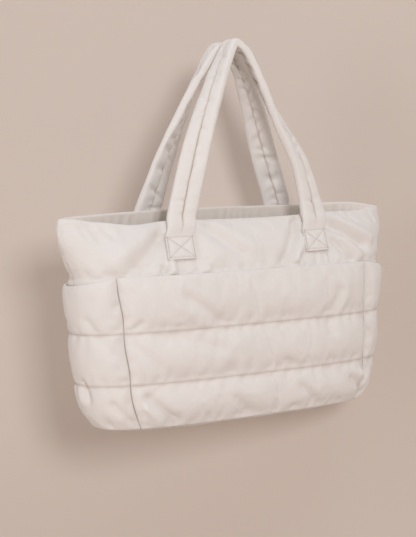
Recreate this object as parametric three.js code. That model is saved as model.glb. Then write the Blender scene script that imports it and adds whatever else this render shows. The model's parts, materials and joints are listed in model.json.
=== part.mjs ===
// Padded tote bag hanging by both handles from one point.
// Units are millimetres, +Z is up, +X is to the right and the front panel faces -Y.
// The origin is the inside of the handles' crown, where the bag hangs.
import * as THREE from 'three';

const FRONT = -1;
const BACK = 1;
const { degToRad: radians, radToDeg: degrees, lerp, clamp } = THREE.MathUtils;

// Driving sizes of the bag body
const rimWidth = 480;
const mouthOpening = 84;
const bodyWidth = 431;
const bodyDepth = 138;
const baseWidth = 397;
const baseDepth = 131;
const bodyHeight = 256;
const handleDrop = 208;
const bagOffset = -11;
const mouthShift = 3;
const baseShift = -5;
const rimDip = 10;
const rimLift = 6;
const boxiness = 2.8;

// Walls, padding and sewn layers
const bodyWall = 5;
const bodyPuff = 8;
const tipPuffShare = 0.35;
const tipPuffReach = 2.2;
const panelFirmness = 0.35;
const bottomRound = 9;
const pocketHeight = 182;
const pocketSeamWall = 4;
const pocketPuff = 5.5;
const pocketCornerAngle = 40.5;
const pocketGrooveAngle = 0.75;
const pocketCornerRound = 16;
const pocketHem = 0.06;
const mouthArch = 1.6;
const sidePocketGape = 4.5;
const gussetPinch = 4;
const dentReach = 0.17;
const frontPocketGape = 6;
const sidePocketDroop = 8;
const basePuff = 6;
const baseSeamWall = 2;
const facingHeight = 34;
const facingSet = 1.5;
const facingWall = 1.6;
const facingGather = 1.1;
const facingGatherReach = 4;
const clearance = 0.4;

// Handles
const strapWidth = 38;
const strapThickness = 12;
const strapCrownWidth = 29;
const strapGroove = 4;
const grooveReach = 0.16;
const innerGrooveShare = 0.45;
const lobeFullness = 0.7;
const patchSpacing = 202;
const patchHeight = 32;
const patchDrop = 21.5;
const patchThickness = 4;
const crownSpacing = 31;
const strapSeat = 0.6;
const seatedRows = [
  { share: 0.5, inwards: 0.98, fullness: 0.8 },
  { share: 0, inwards: 0.96, fullness: 1 },
];
const seatStep = 0.01;

// Horizontal sections of the body, from the rim down to the base seam.
// down is a share of bodyHeight, square is the exponent of the rounded box outline.
const sectionRows = [
  { down: 0.00, width: rimWidth, depth: mouthOpening, square: 1.9 },
  { down: 0.08, width: rimWidth * 0.985, depth: bodyDepth * 0.69, square: 2.1 },
  { down: 0.18, width: rimWidth * 0.945, depth: bodyDepth * 0.84, square: 2.4 },
  { down: 0.285, width: bodyWidth * 1.02, depth: bodyDepth, square: boxiness },
  { down: 0.545, width: bodyWidth, depth: bodyDepth, square: boxiness },
  { down: 0.787, width: lerp(bodyWidth, baseWidth, 0.4), depth: lerp(bodyDepth, baseDepth, 0.5),
    square: boxiness },
  { down: 0.93, width: baseWidth, depth: baseDepth, square: boxiness },
  { down: 1.00, width: baseWidth - bottomRound * 2, depth: baseDepth - bottomRound, square: boxiness },
];

// Quilted channels, as shares of bodyHeight between two stitched lines.
// The top channel runs from the rim to the line beside the pocket mouths.
const channelRows = [
  { name: 'upper', top: 0.0, bottom: 0.285, puff: 0.85, firmness: 0.8 },
  { name: 'first', top: 0.285, bottom: 0.545, puff: 1.0, firmness: 0.45 },
  { name: 'second', top: 0.545, bottom: 0.787, puff: 0.95, firmness: 0.45 },
  { name: 'third', top: 0.787, bottom: 1.0, puff: 0.9, firmness: 0.45 },
];

// Handle legs: up is the share of the way from the rim to the crown.
// Each leg's column is its distance from the crown's line, as a share of its patch's own distance.
const legRows = [
  { up: 0.29, frontLeft: 0.72, frontRight: 0.87, backLeft: 0.73, backRight: 0.84 },
  { up: 0.55, frontLeft: 0.50, frontRight: 0.61, backLeft: 0.525, backRight: 0.63 },
  { up: 0.73, frontLeft: 0.33, frontRight: 0.415, backLeft: 0.37, backRight: 0.49 },
  { up: 0.86, frontLeft: 0.20, frontRight: 0.265, backLeft: 0.225, backRight: 0.36 },
  { up: 0.955, frontLeft: 0.09, frontRight: 0.12, backLeft: 0.11, backRight: 0.18 },
];

// Grid densities
const gussetColumns = 5;
const frontColumns = 16;
const channelBands = 4;
const strapStations = 58;
const strapSides = 14;
const baseRings = 4;

// Value of one named column of a table, eased between its rows.
function tableValue(rows, key, at, column) {
  const last = rows.length - 1;
  if (at <= rows[0][key]) return rows[0][column];
  if (at >= rows[last][key]) return rows[last][column];
  const i = rows.findIndex((row, n) => n < last && at < rows[n + 1][key]);
  const t = (at - rows[i][key]) / (rows[i + 1][key] - rows[i][key]);
  return lerp(rows[i][column], rows[i + 1][column], t);
}

// Point of a rounded box outline: angle 0 is the left tip, 90 the front, 180 the right tip.
function outlinePoint(angle, halfWidth, halfDepth, square) {
  const c = Math.cos(radians(angle));
  const s = Math.sin(radians(angle));
  const x = -halfWidth * Math.sign(c) * Math.abs(c) ** (2 / square);
  const y = -halfDepth * Math.sign(s) * Math.abs(s) ** (2 / square);
  return new THREE.Vector2(x, y);
}

// Outward direction that every layer of one column shares.
function outwardAt(angle) {
  const c = Math.cos(radians(angle));
  const s = Math.sin(radians(angle));
  const power = 2 * (boxiness - 1) / boxiness;
  const x = -Math.sign(c) * Math.abs(c) ** power / bodyWidth;
  const y = -Math.sign(s) * Math.abs(s) ** power / bodyDepth;
  return new THREE.Vector3(x, y, 0).normalize();
}

// Angles that are evenly spaced along the body's outline between two angles.
function evenAngles(from, to, count) {
  const fine = 240;
  const angles = Array.from({ length: fine + 1 }, (_, i) => lerp(from, to, i / fine));
  const points = angles.map((angle) => outlinePoint(angle, bodyWidth / 2, bodyDepth / 2, boxiness));
  const lengths = [0];
  for (let i = 1; i <= fine; i += 1) lengths.push(lengths[i - 1] + points[i].distanceTo(points[i - 1]));
  return Array.from({ length: count + 1 }, (_, k) => {
    const goal = lengths[fine] * k / count;
    const i = clamp(lengths.findIndex((length) => length >= goal), 1, fine);
    const t = (goal - lengths[i - 1]) / (lengths[i] - lengths[i - 1]);
    return lerp(angles[i - 1], angles[i], t);
  });
}

// Height of the rim: it dips between the front patches and is drawn up at the back.
function rimRise(angle) {
  const s = Math.sin(radians(angle));
  return s > 0 ? -rimDip * s * s : rimLift * s * s;
}

// Swelling of the quilted channel at a height: 0 on a stitched line, 1 in mid channel.
function channelSwell(down) {
  const channel = channelRows.find((row) => down >= row.top && down <= row.bottom);
  const along = (down - channel.top) / (channel.bottom - channel.top);
  return channel.puff * Math.max(Math.sin(Math.PI * along), 0) ** channel.firmness;
}

// The body's centre line leans: the mouth sits a little right of the base.
function centreX(down) {
  return bagOffset + lerp(mouthShift, baseShift, down);
}

// Point on the body's outer face, swollen by its padding or plain where a pocket covers it.
function skinPoint(angle, down, swell = 0) {
  const halfWidth = tableValue(sectionRows, 'down', down, 'width') / 2;
  const halfDepth = tableValue(sectionRows, 'down', down, 'depth') / 2;
  const square = tableValue(sectionRows, 'down', down, 'square');
  const flat = outlinePoint(angle, halfWidth, halfDepth, square);
  const fade = clamp(1 - down / sectionRows[3].down, 0, 1);
  const z = -handleDrop - bodyHeight * down + rimRise(angle) * fade;
  const point = new THREE.Vector3(centreX(down) + flat.x, flat.y, z);
  return point.addScaledVector(outwardAt(angle), swell);
}

// Padding of the body at a place: the upper wrap and the back panel swell, and what a pocket covers is flat.
function bodySwell(angle, down) {
  if (down <= channelRows[0].bottom) {
    const towardsPanel = Math.min(Math.abs(Math.sin(radians(angle))) * tipPuffReach, 1);
    const tipShare = lerp(tipPuffShare, 1, towardsPanel);
    return bodyPuff * tipShare * channelSwell(down);
  }
  const panelShare = (angle - 180 - pocketCornerAngle) / (180 - 2 * pocketCornerAngle);
  if (panelShare <= 0 || panelShare >= 1) return 0;
  return bodyPuff * Math.sin(Math.PI * panelShare) ** panelFirmness * channelSwell(down);
}

// Dent of the side walls where the side pockets' mouths stand open.
function gussetDent(angle, down) {
  const fromSide = Math.min(Math.abs(((angle + 90) % 180) - 90), 90);
  const across = Math.cos(Math.PI / 2 * Math.min(fromSide / pocketCornerAngle, 1));
  const level = 1 - Math.abs(down - dentLevel) / dentReach;
  return gussetPinch * across * Math.max(level, 0);
}

// Builds a closed body from an outer and an inner sheet on the same rows and columns.
function sheetSolid(rows, columns, outerPoint, innerPoint, ring = false) {
  const positions = [];
  const width = columns.length;
  const height = rows.length;
  for (const sheet of [outerPoint, innerPoint]) {
    for (const row of rows) {
      for (const column of columns) positions.push(...sheet(column, row).toArray());
    }
  }
  const index = [];
  const inner = width * height;
  const quad = (a, b, c, d) => index.push(a, b, c, a, c, d);
  const spans = ring ? width : width - 1;
  for (let i = 0; i < height - 1; i += 1) {
    for (let j = 0; j < spans; j += 1) {
      const k = (j + 1) % width;
      quad(i * width + j, (i + 1) * width + j, (i + 1) * width + k, i * width + k);
      const below = inner + (i + 1) * width;
      quad(inner + i * width + j, inner + i * width + k, below + k, below + j);
    }
  }
  for (let j = 0; j < spans; j += 1) {
    const k = (j + 1) % width;
    const low = (height - 1) * width;
    quad(j, k, inner + k, inner + j);
    quad(low + k, low + j, inner + low + j, inner + low + k);
  }
  for (let i = 0; !ring && i < height - 1; i += 1) {
    const a = i * width;
    const b = (i + 1) * width;
    quad(b, a, inner + a, inner + b);
    quad(a + width - 1, b + width - 1, inner + b + width - 1, inner + a + width - 1);
  }
  const geometry = new THREE.BufferGeometry();
  geometry.setAttribute('position', new THREE.Float32BufferAttribute(positions, 3));
  geometry.setIndex(index);
  geometry.computeVertexNormals();
  return geometry;
}

const pocketTop = 1 - pocketHeight / bodyHeight;
const clothColour = 0xe4dcd5;
const baseColour = 0xdcd3cb;
const facingColour = 0xd8cec6;
const bag = new THREE.Group();

function addPiece(name, geometry, colour = clothColour, roughness = 0.92) {
  const material = new THREE.MeshStandardMaterial({ color: colour, roughness, metalness: 0 });
  const mesh = new THREE.Mesh(geometry, material);
  mesh.name = name;
  bag.add(mesh);
}

// Rows of one padded stretch between two stitched lines.
function channelHeights(top, bottom, bands) {
  return Array.from({ length: bands }, (_, i) => lerp(top, bottom, i / bands));
}

const upperRows = [0, 0.04, 0.08, 0.13, 0.18, 0.235, channelRows[0].bottom];
const dentLevel = pocketTop + 0.03;
const dentEnd = 0.4;
const bottomBend = sectionRows[5].down;
const hiddenRows = [dentLevel, dentEnd, channelRows[1].bottom, channelRows[2].bottom, bottomBend, 1];
const lowestRows = channelHeights(channelRows[3].top, bottomBend, channelBands - 1).concat(bottomBend, 1);
const middleRows = channelHeights(channelRows[2].top, channelRows[2].bottom, channelBands);
const quiltedRows = channelHeights(channelRows[1].top, channelRows[1].bottom, channelBands)
  .slice(1)
  .concat(middleRows, lowestRows);
const pocketRows = channelHeights(pocketTop, channelRows[1].bottom, channelBands)
  .concat(middleRows, lowestRows);

// Columns of half the body, from one side seam round to the other.
function halfColumns(side) {
  const corner = pocketCornerAngle;
  const front = evenAngles(0, corner, gussetColumns)
    .concat(evenAngles(corner, 180 - corner, frontColumns).slice(1))
    .concat(evenAngles(180 - corner, 180, gussetColumns).slice(1));
  return side === FRONT ? front : front.map((angle) => angle + 180);
}

// Body wall: two halves that meet at the side seams with a small gap.
function bodyHalf(side) {
  const rows = upperRows.concat(side === BACK ? quiltedRows : hiddenRows);
  const seamGap = (angle) => (angle % 180 === 0 ? side * clearance / 2 : 0);
  const shift = (point, angle) => point.setY(point.y + seamGap(angle));
  const face = (angle, down) => bodySwell(angle, down) - gussetDent(angle, down);
  const outer = (angle, down) => shift(skinPoint(angle, down, face(angle, down)), angle);
  const inner = (angle, down) => shift(skinPoint(angle, down, -bodyWall - gussetDent(angle, down)), angle);
  return sheetSolid(rows, halfColumns(side), outer, inner);
}
addPiece('body_front', bodyHalf(FRONT));
addPiece('body_back', bodyHalf(BACK));

// Pocket thickness: stitched thin on its quilt lines and rounded off at its upright edges.
function pocketThickness(edgeDistance, down) {
  const round = Math.sin(Math.min(edgeDistance / pocketCornerRound, 1) * Math.PI / 2);
  const channel = channelRows.find((row) => down <= row.bottom);
  const top = Math.max(channel.top, pocketTop);
  const along = (down - top) / (channel.bottom - top);
  const start = top === pocketTop ? pocketHem : 0;
  const swell = Math.max(Math.sin(Math.PI * lerp(start, 1, along)), 0) ** channel.firmness;
  return pocketSeamWall + pocketPuff * channel.puff * swell * round;
}

// A pocket between two angles, lying on the body and standing off it at the mouth.
function pocketSolid(fromAngle, toAngle, count, gape, droop) {
  const columns = evenAngles(fromAngle, toAngle, count);
  columns[0] += pocketGrooveAngle;
  columns[count] -= pocketGrooveAngle;
  const points = columns.map((angle) => outlinePoint(angle, bodyWidth / 2, bodyDepth / 2, boxiness));
  const lengths = [0];
  for (let i = 1; i <= count; i += 1) lengths.push(lengths[i - 1] + points[i].distanceTo(points[i - 1]));
  const openDepth = channelRows[1].bottom - pocketTop;
  const build = (layer) => (column, down) => {
    const across = column / count;
    const arch = Math.sin(Math.PI * across);
    const depth = clamp((down - pocketTop) / openDepth, 0, 1);
    const stand = clearance + gape * Math.min(arch * mouthArch, 1) * (1 - depth) ** 2;
    const edge = Math.min(lengths[column], lengths[count] - lengths[column]);
    const thickness = layer * pocketThickness(edge, down);
    const point = skinPoint(columns[column], down, stand + thickness);
    point.z -= droop * arch * (1 - depth);
    return point;
  };
  const indices = columns.map((_, i) => i);
  return sheetSolid(pocketRows, indices, build(1), build(0));
}
const corner = pocketCornerAngle;
addPiece('front_pocket', pocketSolid(corner, 180 - corner, frontColumns, frontPocketGape, 0));
const sidePocket = (middle) => (
  pocketSolid(middle - corner, middle + corner, gussetColumns * 2, sidePocketGape, sidePocketDroop)
);
addPiece('side_pocket_left', sidePocket(0));
addPiece('side_pocket_right', sidePocket(180));

// Padded base that closes the body below its bottom seam.
function baseSolid() {
  const angles = halfColumns(FRONT).slice(0, -1).concat(halfColumns(BACK).slice(0, -1));
  const rings = Array.from({ length: baseRings }, (_, i) => (i + 1) / baseRings);
  const spread = clearance;
  const middle = centreX(1);
  const bottomZ = -handleDrop - bodyHeight - clearance;
  const place = (angle, share, z) => {
    const edge = skinPoint(angle, 1, spread);
    return new THREE.Vector3(middle + (edge.x - middle) * share, edge.y * share, z);
  };
  const lowerZ = (share) => bottomZ - baseSeamWall - basePuff * Math.sqrt(Math.max(1 - share ** 4, 0));
  const positions = [middle, 0, bottomZ, middle, 0, lowerZ(0)];
  const width = angles.length;
  for (const level of [() => bottomZ, lowerZ]) {
    for (const share of rings) {
      for (const angle of angles) positions.push(...place(angle, share, level(share)).toArray());
    }
  }
  const index = [];
  const quad = (a, b, c, d) => index.push(a, b, c, a, c, d);
  const at = (level, ring, j) => 2 + (level * baseRings + ring) * width + (j % width);
  for (let j = 0; j < width; j += 1) {
    index.push(0, at(0, 0, j), at(0, 0, j + 1));
    index.push(1, at(1, 0, j + 1), at(1, 0, j));
    for (let r = 0; r < baseRings - 1; r += 1) {
      quad(at(0, r, j), at(0, r + 1, j), at(0, r + 1, j + 1), at(0, r, j + 1));
      quad(at(1, r, j + 1), at(1, r + 1, j + 1), at(1, r + 1, j), at(1, r, j));
    }
    const rim = baseRings - 1;
    quad(at(0, rim, j), at(1, rim, j), at(1, rim, j + 1), at(0, rim, j + 1));
  }
  const geometry = new THREE.BufferGeometry();
  geometry.setAttribute('position', new THREE.Float32BufferAttribute(positions, 3));
  geometry.setIndex(index);
  geometry.computeVertexNormals();
  return geometry;
}
addPiece('base_panel', baseSolid(), baseColour);

// Facing band inside the mouth, gathered towards the two tips.
function facingSolid() {
  const columns = halfColumns(FRONT).slice(0, -1).concat(halfColumns(BACK).slice(0, -1));
  const top = facingSet / bodyHeight;
  const bottom = top + facingHeight / bodyHeight;
  const rows = [top, ...upperRows.filter((down) => down > top && down < bottom), bottom];
  const layer = (depth) => (angle, down) => {
    const near = Math.abs(Math.cos(radians(angle))) ** facingGatherReach;
    const ripple = depth > 0 ? facingGather * near * (columns.indexOf(angle) % 2) : 0;
    return skinPoint(angle, down, -bodyWall - clearance - depth - ripple);
  };
  return sheetSolid(rows, columns, layer(0), layer(facingWall), true);
}
addPiece('mouth_facing', facingSolid(), facingColour);

// Angle of the outline where the body's front or back has a given distance from its centre line.
function angleAtDistance(distance, down, side) {
  const halfWidth = tableValue(sectionRows, 'down', down, 'width') / 2;
  const square = tableValue(sectionRows, 'down', down, 'square');
  const c = -Math.sign(distance) * (Math.abs(distance) / halfWidth) ** (square / 2);
  const angle = degrees(Math.acos(c));
  return side === FRONT ? angle : 360 - angle;
}

// Frame of the strap where it lies on the body: its place, its outward face and its thickness.
function seatedStation(distance, down, side, thickness, lift = strapSeat) {
  const angle = angleAtDistance(distance, down, side);
  const at = (a, d) => skinPoint(a, d, bodySwell(a, d));
  const point = at(angle, down);
  const along = at(angle + 1, down).sub(at(angle - 1, down));
  const upward = at(angle, Math.max(down - seatStep, 0)).sub(at(angle, down + seatStep));
  const outward = along.cross(upward).normalize();
  point.addScaledVector(outward, thickness / 2 + lift);
  return { point, outward, thickness, width: strapWidth, groove: 0 };
}

// Stations of one leg from its sewn patch up to just below the crown.
function legStations(side, leg) {
  const patchX = leg * patchSpacing / 2;
  const top = patchDrop / bodyHeight;
  const bottom = (patchDrop + patchHeight) / bodyHeight;
  const sewn = [0, 0.25, 0.5, 0.75, 1].map((share) => lerp(bottom, top, share));
  const seated = [
    ...sewn.map((down) => seatedStation(patchX, down, side, patchThickness)),
    ...seatedRows.map((row) => seatedStation(patchX * row.inwards, top * row.share, side,
      strapThickness * row.fullness, strapSeat * 2)),
  ];
  const rimPoint = seated[seated.length - 1].point;
  const crownY = side * crownSpacing / 2;
  const legName = (side === FRONT ? 'front' : 'back') + (leg < 0 ? 'Left' : 'Right');
  const free = legRows.map((row) => {
    const x = (bagOffset + patchX) * row[legName];
    const y = lerp(rimPoint.y, crownY, row.up);
    const point = new THREE.Vector3(x, y, lerp(rimPoint.z, strapThickness / 2, row.up));
    return {
      point,
      twist: row.up * Math.PI / 2,
      thickness: strapThickness,
      width: lerp(strapWidth, strapCrownWidth, row.up),
      groove: strapGroove,
    };
  });
  return { seated, free };
}

// Closed outline of the strap: two padded lobes beside a groove along its middle.
function strapOutline(width, thickness, groove) {
  return Array.from({ length: strapSides }, (_, k) => {
    const turn = 2 * Math.PI * (k + 0.5) / strapSides;
    const c = Math.cos(turn);
    const s = Math.sin(turn);
    const across = width / 2 * Math.sign(c) * Math.abs(c) ** lobeFullness;
    const lobe = groove * Math.exp(-((across / (width * grooveReach)) ** 2));
    const fullness = thickness / 2 * Math.abs(s) ** lobeFullness;
    const out = Math.sign(s) * (fullness - (s > 0 ? lobe : lobe * innerGrooveShare));
    return { across, out };
  });
}

// One handle: a padded strap from patch to patch that turns on edge at the crown.
function handleSolid(side) {
  const left = legStations(side, -1);
  const right = legStations(side, 1);
  const crown = {
    point: new THREE.Vector3(0, side * crownSpacing / 2, strapThickness / 2),
    twist: Math.PI / 2,
    thickness: strapThickness,
    width: strapCrownWidth,
    groove: strapGroove,
  };
  const keys = [...left.seated, ...left.free, crown, ...right.free.reverse(), ...right.seated.reverse()];
  const curve = new THREE.CatmullRomCurve3(keys.map((key) => key.point), false, 'centripetal');
  const last = keys.length - 1;
  const panelOut = new THREE.Vector3(0, side, 0);
  const sections = [];
  for (let i = 0; i <= strapStations; i += 1) {
    const t = curve.getUtoTmapping(i / strapStations);
    const tangent = curve.getTangent(t);
    const slot = Math.min(Math.floor(t * last), last - 1);
    const blend = t * last - slot;
    const [a, b] = [keys[slot], keys[slot + 1]];
    const outwardOf = (key) => {
      if (key.outward) return key.outward.clone();
      const loopOut = new THREE.Vector3(-tangent.z, 0, tangent.x);
      const flatShare = panelOut.clone().multiplyScalar(Math.cos(key.twist));
      return flatShare.addScaledVector(loopOut, Math.sin(key.twist));
    };
    const outward = outwardOf(a).lerp(outwardOf(b), blend);
    outward.addScaledVector(tangent, -outward.dot(tangent)).normalize();
    const across = new THREE.Vector3().crossVectors(outward, tangent);
    const outline = strapOutline(lerp(a.width, b.width, blend), lerp(a.thickness, b.thickness, blend),
      lerp(a.groove, b.groove, blend));
    const centre = curve.getPoint(t);
    sections.push(outline.map((p) => (
      centre.clone().addScaledVector(across, p.across).addScaledVector(outward, p.out)
    )));
  }
  return tubeSolid(sections);
}

// Closed tube through a list of outlines with flat ends.
function tubeSolid(sections) {
  const sides = sections[0].length;
  const positions = sections.flat().flatMap((point) => point.toArray());
  const index = [];
  for (let i = 0; i < sections.length - 1; i += 1) {
    for (let j = 0; j < sides; j += 1) {
      const k = (j + 1) % sides;
      const [a, b, c, d] = [i * sides + j, i * sides + k, (i + 1) * sides + k, (i + 1) * sides + j];
      index.push(a, b, c, a, c, d);
    }
  }
  const end = (sections.length - 1) * sides;
  for (let j = 1; j < sides - 1; j += 1) {
    index.push(0, j + 1, j);
    index.push(end, end + j, end + j + 1);
  }
  const geometry = new THREE.BufferGeometry();
  geometry.setAttribute('position', new THREE.Float32BufferAttribute(positions, 3));
  geometry.setIndex(index);
  geometry.computeVertexNormals();
  return geometry;
}
addPiece('handle_front', handleSolid(FRONT));
addPiece('handle_back', handleSolid(BACK));

export default bag;
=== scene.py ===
"""Looks of a padded tote bag that hangs by both handles from one point.

Every length is in metres, +Z is up, +X is to the right and the front panel faces -Y. The
origin is the inside of the handles' crown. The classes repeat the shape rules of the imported
part and add what the cloth does: puffed channels, puckers beside the stitched lines, soft
folds below the handles, rolled hems and rows of stitches.
"""
import sys

import json
import logging
import math
from dataclasses import dataclass, field, replace
from enum import Enum

import bpy
import numpy as np
from mathutils import Matrix, Vector

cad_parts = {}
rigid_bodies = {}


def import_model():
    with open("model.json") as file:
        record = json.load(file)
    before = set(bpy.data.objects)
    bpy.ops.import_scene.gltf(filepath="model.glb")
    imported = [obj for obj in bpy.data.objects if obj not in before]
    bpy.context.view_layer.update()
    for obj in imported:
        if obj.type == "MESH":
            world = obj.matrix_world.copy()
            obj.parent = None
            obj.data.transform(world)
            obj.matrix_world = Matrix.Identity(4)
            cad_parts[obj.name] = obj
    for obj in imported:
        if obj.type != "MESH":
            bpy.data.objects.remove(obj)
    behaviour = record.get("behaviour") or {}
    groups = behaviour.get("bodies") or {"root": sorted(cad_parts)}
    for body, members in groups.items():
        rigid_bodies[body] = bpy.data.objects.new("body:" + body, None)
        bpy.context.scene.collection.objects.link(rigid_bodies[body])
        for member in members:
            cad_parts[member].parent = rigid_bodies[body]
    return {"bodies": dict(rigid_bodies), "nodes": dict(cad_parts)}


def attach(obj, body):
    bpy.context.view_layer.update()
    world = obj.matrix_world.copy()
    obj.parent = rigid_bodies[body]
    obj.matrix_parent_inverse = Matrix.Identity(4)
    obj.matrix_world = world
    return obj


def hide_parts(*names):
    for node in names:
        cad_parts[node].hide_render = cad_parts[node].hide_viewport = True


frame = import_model()
log = logging.getLogger("tote")

Grid = np.ndarray
FINE_STEPS = 36001
NOISE_ORIGIN = 20


class Side(Enum):
    """Which half of the bag a piece belongs to, as the sign of its outward Y."""

    FRONT = -1
    BACK = 1


class Flank(Enum):
    """Which end of the bag a side pocket covers."""

    LEFT = 0
    RIGHT = 180


def mix(a: Grid | float, b: Grid | float, t: Grid | float) -> Grid | float:
    """Value between a and b at share t."""
    return a + (b - a) * t


def bell(distance: Grid, width: Grid | float) -> Grid:
    """1 at no distance, falling softly to 0 over a few widths."""
    return np.exp(-((distance / width) ** 2))


def hermite(t: Grid, start: Grid, end: Grid, leave: Grid, arrive: Grid) -> Grid:
    """Smooth way from one value to another.

    Args:
        t: Share of the way.
        start: Value at its start.
        end: Value at its end.
        leave: Slope at the start, over the whole way.
        arrive: Slope at the end, over the whole way.

    Returns:
        The value at each share.
    """
    return (
        (2 * t**3 - 3 * t**2 + 1) * start
        + (t**3 - 2 * t**2 + t) * leave
        + (3 * t**2 - 2 * t**3) * end
        + (t**3 - t**2) * arrive
    )


def eased(at: Grid, xs: list[float], ys: list[float]) -> Grid:
    """Smooth curve through a few rows of a table that never overshoots them.

    Args:
        at: Where the curve is read.
        xs: Rising positions of the rows.
        ys: Values of the rows.

    Returns:
        The curve's value at each position.
    """
    x, y = np.asarray(xs, float), np.asarray(ys, float)
    step = np.diff(x)
    slope = np.diff(y) / step
    tangent = np.zeros_like(y)
    same = slope[:-1] * slope[1:] > 0
    total = np.where(same, slope[:-1] + slope[1:], 1.0)
    tangent[1:-1] = np.where(same, 2 * slope[:-1] * slope[1:] / total, 0.0)
    tangent[0], tangent[-1] = slope[0], slope[-1]
    at = np.clip(np.asarray(at, float), x[0], x[-1])
    i = np.clip(np.searchsorted(x, at, side="right") - 1, 0, len(x) - 2)
    h = step[i]
    t = (at - x[i]) / h
    return hermite(t, y[i], y[i + 1], h * tangent[i], h * tangent[i + 1])


class SoftNoise:
    """Smooth seeded noise over a plane, between -1 and 1."""

    def __init__(self, seed: int, size: int = 64) -> None:
        """Fills the lattice from a fixed seed."""
        self.size = size
        self.lattice = np.random.default_rng(seed).uniform(-1, 1, (size, size))

    def at(self, u: Grid, v: Grid) -> Grid:
        """Noise at a place, one lattice cell for each unit.

        Args:
            u: First coordinate.
            v: Second coordinate.

        Returns:
            Values of the same shape as u and v.
        """
        iu, iv = np.floor(u).astype(int), np.floor(v).astype(int)
        fu, fv = u - iu, v - iv
        fu, fv = fu * fu * (3 - 2 * fu), fv * fv * (3 - 2 * fv)
        n = self.size
        a = self.lattice[iu % n, iv % n]
        b = self.lattice[(iu + 1) % n, iv % n]
        c = self.lattice[iu % n, (iv + 1) % n]
        d = self.lattice[(iu + 1) % n, (iv + 1) % n]
        return mix(mix(a, b, fu), mix(c, d, fu), fv)

    def over(self, x: Grid, y: Grid, rows: tuple["RippleRow", ...]) -> Grid:
        """Unevenness of a cloth, summed over its scales.

        Args:
            x: First distance, in metres.
            y: Second distance, in metres.
            rows: The scales.

        Returns:
            Heights of the same shape as x and y.
        """
        found = np.zeros_like(x)
        for row in rows:
            u, v = x * row.cells_x + NOISE_ORIGIN, y * row.cells_y + NOISE_ORIGIN
            found += row.height * self.at(u, v)
        return found


@dataclass(frozen=True)
class RippleRow:
    """One scale of a cloth's unevenness, with its cells for each metre."""

    height: float
    cells_x: float
    cells_y: float


@dataclass(frozen=True)
class SectionRow:
    """One horizontal section of the body."""

    down: float
    width: float
    depth: float
    square: float


@dataclass(frozen=True)
class ChannelRow:
    """One quilted channel, between two stitched lines."""

    top: float
    bottom: float
    puff: float
    firmness: float


@dataclass(frozen=True)
class CornerRow:
    """Angles of the grooves between the front pocket and the side pockets at one height."""

    down: float
    left: float
    right: float


@dataclass(frozen=True)
class RimRow:
    """A place where the free rim sags; a negative drop lifts it."""

    x: float
    reach: float
    drop: float
    side: Side


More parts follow.
